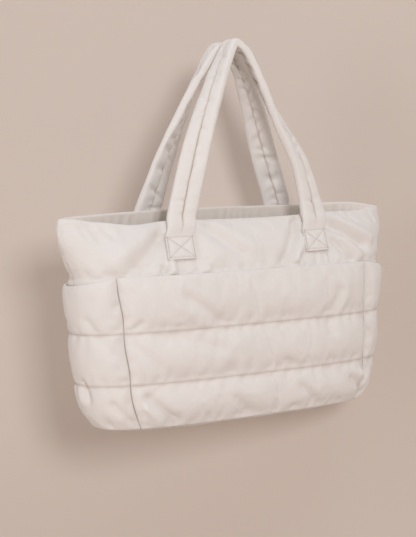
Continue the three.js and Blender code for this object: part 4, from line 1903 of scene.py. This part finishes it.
class ShaderKit:
    """Node groups that the finishes share, each built once."""

    def __init__(self) -> None:
        """Builds the groups."""
        self.weave = self.weave_group()
        self.heather = self.heather_group()

    @staticmethod
    def math(
        tree: bpy.types.NodeTree, kind: str, a: object, b: object = None
    ) -> bpy.types.NodeSocket:
        """Adds a Math node.

        Args:
            tree: The tree that it goes into.
            kind: The operation's name.
            a: A socket or a number.
            b: A socket, a number or nothing.

        Returns:
            The node's output.
        """
        node = tree.nodes.new("ShaderNodeMath")
        node.operation = kind
        for socket, value in zip(node.inputs, (a, b)):
            if isinstance(value, bpy.types.NodeSocket):
                tree.links.new(value, socket)
            elif value is not None:
                socket.default_value = value
        return node.outputs[0]

    def weave_group(self) -> bpy.types.NodeTree:
        """Plain weave of the cloth: threads over and under each other.

        Returns:
            A group that gives the height of the threads.
        """
        tree = bpy.data.node_groups.new("plain_weave", "ShaderNodeTree")
        face = tree.interface
        face.new_socket("Place", in_out="INPUT", socket_type="NodeSocketVector")
        number_input(tree, "Threads", 1500.0)
        number_input(tree, "Drift Scale", 240.0)
        number_input(tree, "Drift", 1.6)
        face.new_socket("Height", in_out="OUTPUT", socket_type="NodeSocketFloat")
        given, result = tree.nodes.new("NodeGroupInput"), tree.nodes.new("NodeGroupOutput")
        noise = tree.nodes.new("ShaderNodeTexNoise")
        split = tree.nodes.new("ShaderNodeSeparateXYZ")
        wire(tree, (
            (given, "Place", noise, "Vector"),
            (given, "Drift Scale", noise, "Scale"),
            (given, "Place", split, "Vector"),
        ))
        drift = self.math(tree, "MULTIPLY", noise.outputs["Fac"], given.outputs["Drift"])
        waves = []
        for axis in ("X", "Y"):
            phase = self.math(tree, "MULTIPLY", split.outputs[axis], given.outputs["Threads"])
            phase = self.math(tree, "ADD", self.math(tree, "MULTIPLY", phase, math.pi), drift)
            waves.append(self.math(tree, "SINE", phase))
        crossed = self.math(tree, "MULTIPLY", waves[0], waves[1])
        height = self.math(tree, "ADD", self.math(tree, "MULTIPLY", crossed, 0.5), 0.5)
        tree.links.new(height, result.inputs["Height"])
        return tree

    def heather_group(self) -> bpy.types.NodeTree:
        """Uneven tint of spun cloth, from single slubs to broad clouds.

        Returns:
            A group that gives a tint around 1 and the slubs' own noise.
        """
        tree = bpy.data.node_groups.new("spun_heather", "ShaderNodeTree")
        face = tree.interface
        face.new_socket("Place", in_out="INPUT", socket_type="NodeSocketVector")
        for name, value in (("Slub Scale", 620.0), ("Cloud Scale", 24.0), ("Strength", 0.1)):
            number_input(tree, name, value)
        face.new_socket("Tint", in_out="OUTPUT", socket_type="NodeSocketFloat")
        face.new_socket("Slubs", in_out="OUTPUT", socket_type="NodeSocketFloat")
        given, result = tree.nodes.new("NodeGroupInput"), tree.nodes.new("NodeGroupOutput")
        slub, cloud = tree.nodes.new("ShaderNodeTexNoise"), tree.nodes.new("ShaderNodeTexNoise")
        slub.inputs["Detail"].default_value = 3.0
        cloud.inputs["Detail"].default_value = 2.0
        for node, name in ((slub, "Slub Scale"), (cloud, "Cloud Scale")):
            tree.links.new(given.outputs["Place"], node.inputs["Vector"])
            tree.links.new(given.outputs[name], node.inputs["Scale"])
        fine = self.math(tree, "MULTIPLY", slub.outputs["Fac"], 0.7)
        broad = self.math(tree, "MULTIPLY", cloud.outputs["Fac"], 0.3)
        centred = self.math(tree, "SUBTRACT", self.math(tree, "ADD", fine, broad), 0.5)
        centred = self.math(tree, "MULTIPLY", centred, given.outputs["Strength"])
        tree.links.new(self.math(tree, "ADD", centred, 1.0), result.inputs["Tint"])
        tree.links.new(slub.outputs["Fac"], result.inputs["Slubs"])
        return tree


@dataclass(frozen=True)
class ClothFinish:
    """Colours, painted shade and surface of one cloth of the bag."""

    name: str
    colour: tuple[float, float, float]
    # Painted shade: the colour that the cloth is darkened to in its seam valleys, grooves and
    # creases.
    fold_colour: tuple[float, float, float]
    threads: float = 1500.0
    weave_depth: float = 0.25
    heather: float = 0.16
    weave_height: float = 0.0004
    roughness: float = 0.86
    sheen: float = 0.15
    sheen_roughness: float = 0.5
    specular: float = 0.25

    def material(self, kit: ShaderKit) -> bpy.types.Material:
        """Builds the material.

        Args:
            kit: The shared node groups.

        Returns:
            The material, with its weave, its tint and its painted shade.
        """
        made = bpy.data.materials.new(self.name)
        made.use_nodes = True
        tree = made.node_tree
        shader = next(n for n in tree.nodes if n.type == "BSDF_PRINCIPLED")
        place = tree.nodes.new("ShaderNodeUVMap")
        place.uv_map = "cloth"
        heather = tree.nodes.new("ShaderNodeGroup")
        heather.node_tree = kit.heather
        heather.inputs["Strength"].default_value = self.heather
        weave = tree.nodes.new("ShaderNodeGroup")
        weave.node_tree = kit.weave
        weave.inputs["Threads"].default_value = self.threads
        # Painted shade: the stitched attribute mixes the cloth's colour towards its darker shade
        # colour.
        stitched = tree.nodes.new("ShaderNodeAttribute")
        stitched.attribute_name = "stitched"
        tone = tree.nodes.new("ShaderNodeMix")
        tone.data_type = "RGBA"
        tone.inputs["A"].default_value = (*self.colour, 1)
        tone.inputs["B"].default_value = (*self.fold_colour, 1)
        tint = tree.nodes.new("ShaderNodeVectorMath")
        tint.operation = "SCALE"
        relief = ShaderKit.math(tree, "ADD", weave.outputs["Height"], heather.outputs["Slubs"])
        bump = tree.nodes.new("ShaderNodeBump")
        bump.inputs["Strength"].default_value = self.weave_depth
        bump.inputs["Distance"].default_value = self.weave_height
        tree.links.new(relief, bump.inputs["Height"])
        wire(tree, (
            (place, "UV", heather, "Place"),
            (place, "UV", weave, "Place"),
            (stitched, "Fac", tone, "Factor"),
            (tone, "Result", tint, "Vector"),
            (heather, "Tint", tint, "Scale"),
            (tint, "Vector", shader, "Base Color"),
            (bump, "Normal", shader, "Normal"),
        ))
        shader.inputs["Roughness"].default_value = self.roughness
        shader.inputs["Sheen Weight"].default_value = self.sheen
        shader.inputs["Sheen Roughness"].default_value = self.sheen_roughness
        shader.inputs["Specular IOR Level"].default_value = self.specular
        return made


@dataclass(frozen=True)
class ThreadFinish:
    """Colour and sheen of the sewing thread."""

    name: str = "sewing_thread"
    colour: tuple[float, float, float] = (0.52, 0.44, 0.38)
    roughness: float = 0.7
    grain: float = 900.0
    contrast: float = 0.1

    def material(self) -> bpy.types.Material:
        """Builds the thread's material.

        Returns:
            The material, with a fine change of tone along the thread.
        """
        made = bpy.data.materials.new(self.name)
        made.use_nodes = True
        tree = made.node_tree
        shader = next(n for n in tree.nodes if n.type == "BSDF_PRINCIPLED")
        place = tree.nodes.new("ShaderNodeTexCoord")
        noise = tree.nodes.new("ShaderNodeTexNoise")
        noise.inputs["Scale"].default_value = self.grain
        tone = tree.nodes.new("ShaderNodeMix")
        tone.data_type = "RGBA"
        for name, change in (("A", -self.contrast), ("B", self.contrast)):
            tone.inputs[name].default_value = (*[c * (1 + change) for c in self.colour], 1)
        wire(tree, (
            (place, "Object", noise, "Vector"),
            (noise, "Fac", tone, "Factor"),
            (tone, "Result", shader, "Base Color"),
        ))
        shader.inputs["Roughness"].default_value = self.roughness
        return made


@dataclass(frozen=True)
class LampRow:
    """One soft lamp of the studio, aimed at the bag."""

    name: str
    azimuth: float
    elevation: float
    distance: float
    size: float
    power: float


@dataclass
class Studio:
    """Plain floor, plain backdrop, soft lamps and the camera."""

    centre: tuple[float, float, float] = (-0.04278, 0.0, -0.279366)
    yaw: float = 31.168
    pitch: float = 2.467
    roll: float = -2.483
    distance: float = 1.65573
    focal_pixels: float = 1300.0
    image_height: float = 537.0
    paint: tuple[float, float, float] = (0.645, 0.548, 0.478)
    wall_gap: float = 0.22
    lamp_colour: tuple[float, float, float] = (0.90, 0.945, 1.0)
    air_colour: tuple[float, float, float] = (0.91, 0.95, 1.0)
    air_strength: float = 0.52
    floor: float = -1.1
    lamps: tuple[LampRow, ...] = (
        LampRow("key_lamp", -19, 11, 2.6, 0.46, 26),
        LampRow("top_lamp", 10, 60, 2.6, 1.4, 11),
        LampRow("side_lamp", 60, 20, 2.8, 1.6, 9),
        LampRow("fill_lamp", -88, 8, 2.8, 1.8, 22),
        LampRow("back_lamp", 160, 35, 2.6, 1.8, 20),
    )

    def axes(self) -> tuple[Vector, Vector, Vector]:
        """Directions of the camera.

        Returns:
            Its right, its up and its back.
        """
        yaw, pitch, roll = (math.radians(v) for v in (self.yaw, self.pitch, self.roll))
        flat = math.cos(pitch)
        back = Vector((-math.sin(yaw) * flat, -math.cos(yaw) * flat, math.sin(pitch)))
        right = Vector((math.cos(yaw), -math.sin(yaw), 0))
        up = back.cross(right)
        turned = right * math.cos(roll) + up * math.sin(roll)
        return turned, up * math.cos(roll) - right * math.sin(roll), back

    def camera(self) -> None:
        """Places the camera at the photograph's viewing angle."""
        right, up, back = self.axes()
        data = bpy.data.cameras.new("studio_camera")
        data.sensor_width = 36.0
        data.lens = self.focal_pixels * data.sensor_width / self.image_height
        data.clip_start, data.clip_end = 0.05, 50.0
        camera = bpy.data.objects.new("studio_camera", data)
        bpy.context.scene.collection.objects.link(camera)
        turn = Matrix((right, up, back)).transposed().to_4x4()
        camera.matrix_world = Matrix.Translation(Vector(self.centre) + back * self.distance) @ turn
        bpy.context.scene.camera = camera

    def plain_material(
        self, name: str, colour: tuple[float, float, float], one_sided: bool
    ) -> bpy.types.Material:
        """Builds the paint of the floor or the backdrop.

        Args:
            name: The material's name.
            colour: Its colour.
            one_sided: Whether its back isn't seen.

        Returns:
            The material.
        """
        made = bpy.data.materials.new(name)
        made.use_nodes = True
        tree = made.node_tree
        shader = next(n for n in tree.nodes if n.type == "BSDF_PRINCIPLED")
        shader.inputs["Base Color"].default_value = (*colour, 1)
        shader.inputs["Roughness"].default_value = 0.95
        shader.inputs["Specular IOR Level"].default_value = 0.0
        if one_sided:
            output = next(n for n in tree.nodes if n.type == "OUTPUT_MATERIAL")
            clear = tree.nodes.new("ShaderNodeBsdfTransparent")
            facing = tree.nodes.new("ShaderNodeNewGeometry")
            either = tree.nodes.new("ShaderNodeMixShader")
            tree.links.new(facing.outputs["Backfacing"], either.inputs["Fac"])
            tree.links.new(shader.outputs["BSDF"], either.inputs[1])
            tree.links.new(clear.outputs["BSDF"], either.inputs[2])
            tree.links.new(either.outputs["Shader"], output.inputs["Surface"])
        return made

    def surround(self) -> None:
        """Builds the round room: a floor that curves up into a plain wall."""
        radius, bend, tall, around = 3.4, 0.8, 3.4, 96
        profile = [(0.0, 0.0), (radius - bend, 0.0)]
        profile += [
            (radius - bend + bend * math.sin(t), bend - bend * math.cos(t))
            for t in np.linspace(0.1, math.pi / 2, 14)
        ]
        profile.append((radius, tall))
        points = [(0.0, 0.0, self.floor)]
        for r, h in profile[1:]:
            for n in range(around):
                angle = 2 * math.pi * n / around
                points.append((r * math.cos(angle), r * math.sin(angle), self.floor + h))
        rings = 1 + np.arange((len(profile) - 1) * around).reshape(-1, around)
        faces = fan(0, rings[0]) + strips(list(rings), ring=True)
        self.stage_piece("studio_floor", points, faces, self.paint, False)

    def backdrop(self) -> None:
        """Builds the plain wall close behind the bag, seen from its front only."""
        right, _, back = self.axes()
        flat = Vector((back.x, back.y, 0)).normalized()
        along = Vector((right.x, right.y, 0)).normalized()
        foot = Vector(self.centre) - flat * self.wall_gap
        half, bend = 1.1, 0.3
        profile = [(0.0, 1.0), (0.0, self.floor + bend)]
        profile += [
            (bend - bend * math.cos(t), self.floor + bend - bend * math.sin(t))
            for t in np.linspace(0.1, math.pi / 2, 12)
        ]
        profile.append((1.6, self.floor))
        points, faces = [], []
        for forward, height in profile:
            for sign in (-1, 1):
                spot = foot + flat * forward + along * half * sign
                points.append((spot.x, spot.y, height + 0.001))
        for n in range(len(profile) - 1):
            a = 2 * n
            faces.append((a, a + 2, a + 3, a + 1))
        wall = self.stage_piece("studio_wall", points, faces, self.paint, True)
        wall.visible_shadow = False
        wall.visible_diffuse = False
        wall.visible_glossy = False

    def stage_piece(
        self,
        name: str,
        points: list[tuple[float, float, float]],
        faces: list[tuple[int, ...]],
        colour: tuple[float, float, float],
        one_sided: bool,
    ) -> bpy.types.Object:
        """Makes one smooth piece of the studio.

        Args:
            name: Its name.
            points: Its corners.
            faces: Its faces.
            colour: Its colour.
            one_sided: Whether its back isn't seen.

        Returns:
            The object.
        """
        mesh = bpy.data.meshes.new(name)
        mesh.from_pydata(points, [], faces)
        mesh.shade_smooth()
        mesh.materials.append(self.plain_material(name, colour, one_sided))
        made = bpy.data.objects.new(name, mesh)
        bpy.context.scene.collection.objects.link(made)
        return made

    def lights(self) -> None:
        """Places the soft lamps and the even light of the room."""
        for row in self.lamps:
            azimuth, elevation = math.radians(row.azimuth), math.radians(row.elevation)
            away = Vector((
                math.sin(azimuth) * math.cos(elevation),
                -math.cos(azimuth) * math.cos(elevation),
                math.sin(elevation),
            ))
            data = bpy.data.lights.new(row.name, "AREA")
            data.size, data.energy, data.color = row.size, row.power, self.lamp_colour
            lamp = bpy.data.objects.new(row.name, data)
            lamp.location = Vector(self.centre) + away * row.distance
            lamp.rotation_mode = "QUATERNION"
            lamp.rotation_quaternion = away.to_track_quat("Z", "Y")
            bpy.context.scene.collection.objects.link(lamp)
        world = bpy.data.worlds.new("studio_air")
        world.use_nodes = True
        air = world.node_tree.nodes["Background"]
        air.inputs["Color"].default_value = (*self.air_colour, 1)
        air.inputs["Strength"].default_value = self.air_strength
        bpy.context.scene.world = world
        bpy.context.scene.view_settings.view_transform = "Standard"

    def build(self) -> None:
        """Sets up the whole studio."""
        self.surround()
        self.backdrop()
        self.lights()
        self.camera()


# Soft folds of the front wall: they run from the sewn straps down to the pockets' line.
FRONT_FOLDS = (
    FoldRow(-0.136, 0.080, -0.174, 0.230, 0.010, -0.0091),
    FoldRow(-0.156, 0.060, -0.200, 0.200, 0.014, 0.0064),
    FoldRow(-0.139, 0.240, -0.142, 0.290, 0.004, -0.0069),
    FoldRow(-0.128, 0.225, -0.131, 0.290, 0.005, 0.0049),
    FoldRow(-0.122, 0.215, -0.113, 0.290, 0.0025, -0.0034),
    FoldRow(-0.096, 0.222, -0.094, 0.290, 0.0022, -0.0022),
    FoldRow(-0.081, 0.215, -0.068, 0.290, 0.003, -0.0034),
    FoldRow(-0.076, 0.040, -0.030, 0.190, 0.008, -0.0049),
    FoldRow(-0.060, 0.030, -0.012, 0.160, 0.011, 0.0034),
    FoldRow(0.068, 0.050, 0.034, 0.250, 0.009, -0.0087),
    FoldRow(0.075, 0.110, 0.050, 0.240, 0.007, 0.0057),
    FoldRow(0.060, 0.235, 0.061, 0.290, 0.004, -0.0057),
    FoldRow(0.120, 0.065, 0.174, 0.190, 0.007, -0.0087),
    FoldRow(0.135, 0.045, 0.190, 0.155, 0.009, 0.0064),
    FoldRow(0.122, 0.160, 0.145, 0.270, 0.006, -0.0071),
    FoldRow(0.136, 0.150, 0.162, 0.250, 0.006, 0.0045),
    FoldRow(0.085, 0.222, 0.082, 0.285, 0.0028, -0.0031),
    FoldRow(0.097, 0.222, 0.097, 0.285, 0.0028, -0.0027),
    FoldRow(0.108, 0.222, 0.112, 0.285, 0.0028, -0.0031),
    FoldRow(-0.236, 0.020, -0.226, 0.085, 0.0030, -0.0034),
    FoldRow(-0.224, 0.015, -0.212, 0.095, 0.0034, -0.0038),
    FoldRow(-0.208, 0.015, -0.196, 0.075, 0.0030, -0.0031),
    FoldRow(0.146, 0.015, 0.152, 0.060, 0.0030, -0.0034),
    FoldRow(0.162, 0.015, 0.171, 0.070, 0.0032, -0.0034),
    FoldRow(0.205, 0.015, 0.213, 0.070, 0.0030, -0.0031),
)

# The back hangs freely, with a few shallower folds below its own straps.
BACK_FOLDS = (
    FoldRow(-0.128, 0.080, -0.162, 0.240, 0.010, -0.0034),
    FoldRow(-0.076, 0.070, -0.045, 0.220, 0.009, -0.0026),
    FoldRow(0.072, 0.070, 0.040, 0.240, 0.009, -0.0032),
    FoldRow(0.126, 0.080, 0.168, 0.220, 0.009, -0.0034),
    FoldRow(0.150, 0.440, 0.120, 0.540, 0.007, -0.0016),
    FoldRow(-0.110, 0.420, -0.070, 0.540, 0.007, -0.0016),
)

# Folds of the front pocket, mostly running into its quilted lines and its lower corners.
POCKET_FOLDS = (
    FoldRow(-0.090, 0.400, -0.048, 0.540, 0.007, -0.0038),
    FoldRow(-0.105, 0.440, -0.075, 0.540, 0.009, 0.0023),
    FoldRow(0.137, 0.420, 0.112, 0.540, 0.007, -0.0040),
    FoldRow(0.150, 0.400, 0.128, 0.520, 0.008, 0.0021),
    FoldRow(-0.160, 0.500, -0.176, 0.545, 0.004, -0.0034),
    FoldRow(-0.115, 0.570, -0.070, 0.640, 0.009, -0.0030),
    FoldRow(-0.172, 0.600, -0.160, 0.700, 0.008, -0.0027),
    FoldRow(0.020, 0.740, 0.045, 0.785, 0.005, -0.0023),
    FoldRow(0.096, 0.560, 0.110, 0.620, 0.006, -0.0023),
    FoldRow(0.160, 0.800, 0.180, 0.930, 0.006, -0.0068),
    FoldRow(0.150, 0.860, 0.182, 0.970, 0.005, 0.0047),
    FoldRow(0.128, 0.880, 0.160, 0.975, 0.006, -0.0051),
    FoldRow(-0.176, 0.850, -0.148, 0.975, 0.006, -0.0061),
    FoldRow(-0.182, 0.900, -0.166, 0.990, 0.004, 0.0044),
    FoldRow(-0.060, 0.900, -0.045, 0.980, 0.006, -0.0038),
    FoldRow(0.040, 0.880, 0.062, 0.980, 0.006, -0.0034),
)

# Folds of a side pocket: a tuck below its lower quilted line and creases at its corners.
SIDE_FOLDS = (
    FoldRow(0.006, 0.787, 0.012, 0.850, 0.0045, -0.0070),
    FoldRow(-0.006, 0.800, -0.002, 0.860, 0.0050, 0.0036),
    FoldRow(0.030, 0.470, 0.040, 0.540, 0.005, -0.0028),
    FoldRow(-0.030, 0.480, -0.022, 0.540, 0.005, -0.0025),
    FoldRow(0.048, 0.880, 0.066, 0.980, 0.006, -0.0042),
    FoldRow(-0.048, 0.880, -0.066, 0.980, 0.006, -0.0042),
    FoldRow(0.045, 0.560, 0.060, 0.640, 0.006, -0.0025),
)


# The second colour of each cloth is painted shade for its seam valleys, grooves and creases.
CREAM_CLOTH = ClothFinish("padded_cream_cloth", (0.80, 0.745, 0.70), (0.66, 0.58, 0.51))
# Painted light: the facing's colour is set lighter than the outer cloth's to brighten the shaded
# inside of the mouth.
BRIGHTENED_LINING_CLOTH = ClothFinish("facing_cloth", (0.87, 0.785, 0.71), (0.68, 0.59, 0.51))
BACK_PITCH = 0.0036


def dress(
    piece: bpy.types.Object,
    finish: bpy.types.Material,
    nodes: tuple[str, ...] = (),
) -> bpy.types.Object:
    """Gives a piece its material and joins it to the frame.

    Args:
        piece: The finished piece.
        finish: Its material.
        nodes: The nodes that it stands for.

    Returns:
        The same piece.
    """
    piece.data.materials.clear()
    piece.data.materials.append(finish)
    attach(piece, "root")
    if nodes:
        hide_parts(*nodes)
    piece.data.calc_loop_triangles()
    log.info("%s: %d triangles", piece.name, len(piece.data.loop_triangles))
    return piece


def clear_start(kept: dict) -> None:
    """Removes what Blender's start file holds beside the frame.

    Args:
        kept: The loaded frame, with its nodes and bodies.
    """
    known = set(kept["nodes"].values()) | set(kept["bodies"].values())
    for thing in list(bpy.data.objects):
        if thing not in known:
            bpy.data.objects.remove(thing)


def main() -> None:
    """Builds, dresses and reports every piece of the bag."""
    logging.basicConfig(level=logging.INFO, format="%(message)s", stream=sys.stdout)
    clear_start(frame)
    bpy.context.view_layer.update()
    shape = BagShape()
    kit = ShaderKit()
    cloth, brightened_lining = CREAM_CLOTH.material(kit), BRIGHTENED_LINING_CLOTH.material(kit)
    thread = ThreadFinish().material()
    press = ClothPress()
    lines = ThreadLines()

    for side, node in ((Side.FRONT, "body_front"), (Side.BACK, "body_back")):
        if side is Side.FRONT:
            half = BodyHalf(shape, side, press, folds=FRONT_FOLDS)
        else:
            half = BodyHalf(shape, side, press, pitch=BACK_PITCH, folds=BACK_FOLDS)
        wall = dress(half.build(), cloth, (node,))
        for corners in half.seam_corners():
            lines.along(wall, corners)

    for node, name, place, gape, droop, folds, seed in (
        ("front_pocket", "front_pocket_cloth", None, 0.0022, 0.0, POCKET_FOLDS, 3),
        ("side_pocket_left", "left_pocket_cloth", Flank.LEFT, 0.0040, 0.008, SIDE_FOLDS, 5),
        ("side_pocket_right", "right_pocket_cloth", Flank.RIGHT, 0.0040, 0.008, SIDE_FOLDS, 7),
    ):
        pocket = Pocket(shape, name, place, gape, droop, press, folds=folds, seed=seed)
        made = dress(pocket.build(), cloth, (node,))
        for corners in pocket.seam_corners():
            lines.along(made, corners)

    dress(BasePanel(shape).build(), cloth, ("base_panel",))

    facing = MouthFacing(shape)
    band = dress(facing.build(), brightened_lining, ("mouth_facing",))

    for side, node in ((Side.FRONT, "handle_front"), (Side.BACK, "handle_back")):
        handle = Handle(shape, side)
        dress(handle.build(), cloth, (node,))
        handle.patch_lines(lines)
        handle.centre_line(lines)

    dress(Thread().sew("stitches", lines, thread), thread)

    Studio().build()


if __name__ == "__main__":
    main()
